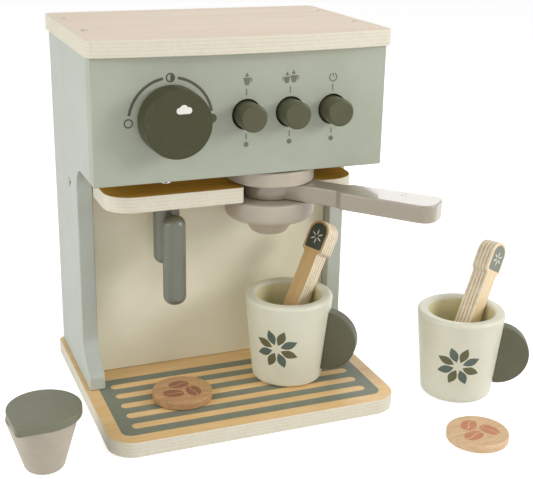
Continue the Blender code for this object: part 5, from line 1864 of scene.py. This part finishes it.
@dataclass
class StirrerPair:
    """Two flat plywood stirrers with arched heads and a printed label on each head."""

    thickness: float = 14.5 * MM
    shank_width: float = 13.5 * MM
    head_width: float = 19.8 * MM
    head_length: float = 24.5 * MM
    neck_length: float = 2.5 * MM
    neck_corner: float = 1.5 * MM
    head_corner: float = 2.2 * MM
    foot_corner: float = 2.0 * MM
    arris: float = 0.8 * MM
    length: float = 118.7 * MM
    cup_height: float = 70.2 * MM
    cup_floor: float = 8.0 * MM
    label_width: float = 15.4 * MM
    label_length: float = 21.1 * MM
    label_inset: float = 2.2 * MM
    label_corner: float = 1.6 * MM
    petal_span: Point = (1.0 * MM, 6.0 * MM)
    petal_width: float = 1.1 * MM
    rosette_drop: float = 0.5 * MM
    rosette_proud: float = 0.05 * MM
    ply_shift: float = 1.5 * MM
    leans: dict[Side, Lean] = field(default_factory=lambda: {
        Side.LEFT: Lean((15.9 * MM, 8.8 * MM), 17.4, 26.5, 11.1),
        Side.RIGHT: Lean((16.3 * MM, 7.8 * MM), 25.7, 29.0, 84.9)})

    def placement(self, side: Side) -> Matrix:
        """Return the placement of a stirrer whose foot stands on its cup's floor.

        Args:
            side: Which of the two stirrers.

        Returns:
            The placement.
        """
        way = self.leans[side]
        turn = Matrix()
        for degrees, axis in ((way.heading, "Z"), (way.lean, "Y"), (way.twist - 90, "Z")):
            turn = turn @ Matrix.Rotation(math.radians(degrees), 4, axis)
        axis = turn @ UP
        lowest = (self.shank_width * abs((turn @ Vector((1, 0, 0))).z)
                  + self.thickness * abs((turn @ FORWARD).z)) / 2
        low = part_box(f"{side.value}_cup")[0].z
        rim = on_axis(f"{side.value}_cup") + Vector((*way.offset, low + self.cup_height))
        floor = low + self.cup_floor + FIT_GAP + lowest
        return Matrix.Translation(rim - axis * ((rim.z - floor) / axis.z)) @ turn

    def arched(self, corners: Sequence[Corner], half: float, top: float, steps: int) -> Outline:
        """Return the outline of a shape even about its middle that ends in a half circle.

        Args:
            corners: Corners of its right side from the bottom up.
            half: Radius of the half circle.
            top: Height of its top.
            steps: Facets of the half circle.

        Returns:
            The outline.
        """
        right = [*corners, (half, top - half, 0)]
        arch = [(p.x, p.y, 0) for p in arc((0, top - half), half, 0, 180, steps)[1:-1]]
        left = [(-u, v, radius) for u, v, radius in reversed(right)]
        return rounded([*right, *arch, *left])

    def outline(self) -> Outline:
        """Return the stirrer's outline, foot to arched head.

        Returns:
            The outline.
        """
        half, wide = self.shank_width / 2, self.head_width / 2
        head_low = self.length - self.head_length
        corners = [(half, 0, self.foot_corner), (half, head_low - self.neck_length, self.neck_corner),
                   (wide, head_low, self.head_corner)]
        return self.arched(corners, wide, self.length, 32)

    def label(self) -> Outline:
        """Return the outline of the arched label.

        Returns:
            The outline.
        """
        half, top = self.label_width / 2, self.length - self.label_inset
        return self.arched([(half, top - self.label_length, self.label_corner)], half, top, 24)

    def rosette(self) -> list[Outline]:
        """Return the thin petals of the label's rosette.

        Returns:
            Their outlines.
        """
        centre = (0.0, self.length - self.label_inset - self.label_length / 2 - self.rosette_drop)
        return [petal(*self.petal_span, self.petal_width, 60 * i + 30, centre) for i in range(6)]

    def finish(self, side: Side, pieces: Sequence[bpy.types.Object], faces: Sequence[str],
               ink: Finish) -> None:
        """Dress one stirrer's pieces and tie them to its body.

        Args:
            side: Which of the two stirrers.
            pieces: Stick, label and rosette.
            faces: Light and dark colour of its veneer.
            ink: Ink of its label.
        """
        stick, label, rosette = pieces
        name, place = side.value, self.placement(side)
        body, turn = f"{name}_stirrer_unit", tuple(place.to_euler("XYZ"))
        veneer = BirchVeneer(f"birch_veneer_sanded_{name}_stirrer", *faces, grain=Axis.Z, figure_mm=5.0,
                             start=place.translation, turn=turn)
        edge = PlyEdge(f"birch_plywood_edge_{name}_stirrer", "#F0E6CD", "#A8733A",
                       place @ (FORWARD * self.ply_shift), Axis.Y, turn, pitch=3.1 * MM, line=1.0 * MM,
                       contrast=1.0)
        across = place.to_3x3() @ FORWARD
        dress(stick, veneer, edge, lambda face: abs(face.normal.dot(across)) < FLAT_FACE)
        settle(stick, body, "birch_plywood", f"{name}_stirrer")
        dress(label, ink)
        settle(label, body, "olive_paint")
        dress(rosette, WHITE_INK)
        settle(rosette, body, "ivory_paint")

    def build(self) -> None:
        """Model one stirrer with its label and copy them."""
        left = self.placement(Side.LEFT)
        place, half = left @ FACING_FRONT, self.thickness / 2
        stick = slab("left_stirrer_plywood", self.outline(), place, -half, half)
        sand(stick, self.arris)
        label = print_shapes("left_stirrer_label_print", [self.label()], place, half)
        rosette = print_shapes("left_stirrer_rosette_print", self.rosette(), place, half + PRINT_PROUD,
                               self.rosette_proud)
        sets = copy_to_right([stick, label, rosette], self.placement(Side.RIGHT) @ left.inverted())
        self.finish(Side.LEFT, sets[Side.LEFT], ("#D9B67E", "#CDA76C"), LABEL_DARK)
        self.finish(Side.RIGHT, sets[Side.RIGHT], ("#EED9B4", "#E4C99D"), LABEL_GREY)


@dataclass
class CoffeePads:
    """Two thin beech discs with three printed coffee beans each: place and heading of each bean."""

    edge_radius: float = 1.0 * MM
    bean_length: float = 16.4 * MM
    bean_width: float = 11.4 * MM
    bean_split: float = 1.0 * MM
    split_wave: float = 1.1 * MM
    left_beans: tuple[Corner, ...] = ((-0.4 * MM, 8.4 * MM, 6.0), (-8.3 * MM, -4.4 * MM, -19.0),
                                      (7.5 * MM, -5.0 * MM, -88.0))
    right_beans: tuple[Corner, ...] = ((-2.2 * MM, 9.0 * MM, 40.0), (8.8 * MM, -2.0 * MM, -72.0),
                                       (-6.8 * MM, -5.6 * MM, 14.0))

    def bean_halves(self, centre: Point, heading: float) -> list[Outline]:
        """Return the two halves of a bean on either side of its curved split.

        Args:
            centre: Middle of the bean.
            heading: Direction of its length in degrees.

        Returns:
            Their outlines.
        """
        a, b, gap = self.bean_length / 2, self.bean_width / 2, self.bean_split / 2
        first = math.degrees(math.asin(gap / b))
        turns = [math.radians(first + (180 - 2 * first) * i / 28) for i in range(29)]
        xs = [-a + 2 * a * i / 24 for i in range(2, 23)]
        halves = []
        for sign in (1, -1):
            rim = [Vector((a * math.cos(t), sign * b * math.sin(t))) for t in turns]
            split = [Vector((x, sign * gap + self.split_wave * math.sin(math.pi * x / a))) for x in xs]
            halves.append(moved(rim + split, centre, heading))
        return halves

    def finish(self, side: Side, pad: bpy.types.Object, wood: Finish, beans: Sequence[Corner],
               ink: Finish) -> None:
        """Print a pad's beans, dress it and tie it to its body.

        Args:
            side: Which of the two pads.
            pad: The disc.
            wood: Finish of the disc.
            beans: Place and heading of each bean.
            ink: Ink of the beans.
        """
        name = side.value
        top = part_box(f"{name}_coffee_pad")[1].z
        outlines = [half for x, y, heading in beans for half in self.bean_halves((x, y), heading)]
        place = Matrix.Translation(on_axis(f"{name}_coffee_pad"))
        mark = print_shapes(f"{name}_pad_beans_print", outlines, place, top)
        dress(pad, wood)
        settle(pad, f"{name}_pad_unit", "brown_wood", f"{name}_coffee_pad")
        dress(mark, ink)
        settle(mark, f"{name}_pad_unit", "brown_wood")

    def build(self) -> None:
        """Model one pad, copy it and print their beans."""
        low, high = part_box("left_coffee_pad")
        radius, edge = (high.x - low.x) / 2, self.edge_radius
        corners = [(0, high.z, 0), (radius, high.z, edge), (radius, low.z, edge), (0, low.z, 0)]
        pad = turn_on_lathe("left_coffee_pad_disc", corners, on_axis("left_coffee_pad"), steps=128)
        shift = Matrix.Translation(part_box("right_coffee_pad")[0] - low)
        other = copy_piece(pad, "right_coffee_pad_disc", shift)
        dark = BeechDisc("beech_disc_lacquered_left_pad", "#C29A6E", "#B08658", "#8A6238")
        pale = BeechDisc("beech_disc_lacquered_right_pad", "#E3C39E", "#D6B289", "#B58C62")
        self.finish(Side.LEFT, pad, dark, self.left_beans, BEAN_LEFT)
        self.finish(Side.RIGHT, other, pale, self.right_beans, BEAN_RIGHT)


@dataclass
class Capsule:
    """Turned coffee capsule with a flat lid whose edge runs out into a tab."""

    base_radius: float = 13.4 * MM
    base_edge: float = 4.0 * MM
    top_radius: float = 25.0 * MM
    top_edge: float = 0.6 * MM
    bore: float = 4.3 * MM
    lid_radius: float = 25.8 * MM
    lid_shift: float = 1.7 * MM
    tab_reach: float = 34.3 * MM
    tab_radius: float = 3.4 * MM
    tab_angle: float = -131.0
    sanding: float = 0.9 * MM

    def lid_outline(self) -> Outline:
        """Return the lid's outline: a circle with one pulled-out corner.

        Returns:
            The outline.
        """
        reach = self.tab_reach - self.tab_radius
        touch = math.degrees(math.acos((self.lid_radius - self.tab_radius) / reach))
        angle = math.radians(self.tab_angle)
        tip = (self.lid_shift + reach * math.cos(angle), reach * math.sin(angle))
        return (arc((self.lid_shift, 0), self.lid_radius, self.tab_angle + touch, 360 - 2 * touch, 96)
                + arc(tip, self.tab_radius, self.tab_angle - touch, 2 * touch, 16))

    def build(self) -> None:
        """Turn the body and cut the lid."""
        low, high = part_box("capsule_body")
        centre = on_axis("capsule_body")
        height = high.z - low.z
        seat_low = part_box("capsule_dowel")[0].z - FIT_GAP
        corners = [(0, seat_low, 0), (self.bore, seat_low, 0), (self.bore, height, 0),
                   (self.top_radius, height, self.top_edge), (self.base_radius, 0, self.base_edge), (0, 0, 0)]
        body = turn_on_lathe("capsule_body_turned", corners, centre, steps=128)
        dress(body, TurnedPaint("taupe_satin_paint_on_turned_capsule", "#BBB09F", "#B4A997", centre, Axis.Z,
                                ring_depth=0.3))
        settle(body, "capsule", "taupe_paint", "capsule_body")
        lid_low, lid_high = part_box("capsule_lid")
        lid = slab("capsule_lid_board", self.lid_outline(), Matrix.Translation(centre), lid_low.z, lid_high.z)
        sand(lid, self.sanding)
        seat(lid, "capsule_dowel")
        dress(lid, LID_PAINT)
        settle(lid, "capsule", "grey_green_paint", "capsule_lid")


@dataclass
class Hardware:
    """Screws, dowels, springs, felt and guide board, which keep their own shapes."""

    finishes: tuple[tuple[Finish, tuple[str, ...]], ...] = (
        (DOWEL_WOOD, ("dowel", "axle", "collar", "guide_board")),
        (STEEL, ("screw", "spring", "wand_pin", "wand_spacer")), (FELT, ("felt",)))

    def build(self) -> None:
        """Give each kept node its finish."""
        for name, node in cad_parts.items():
            for finish, words in self.finishes:
                if any(word in name for word in words):
                    for slot in node.material_slots:
                        slot.material = finish.material()
                    log.info("%s keeps its shape and is finished as %s", name, finish.name)


def main() -> None:
    """Build the studio and every sub-assembly in order."""
    logging.basicConfig(level=logging.INFO, format="%(name)s: %(message)s")
    for assembly in (Studio(), Carcass(), TrayPrint(), PanelPrint(), Dial(), PushButtons(), Portafilter(),
                     SteamWand(), CupSet(), StirrerPair(), CoffeePads(), Capsule(), Hardware()):
        assembly.build()


if __name__ == "__main__":
    main()
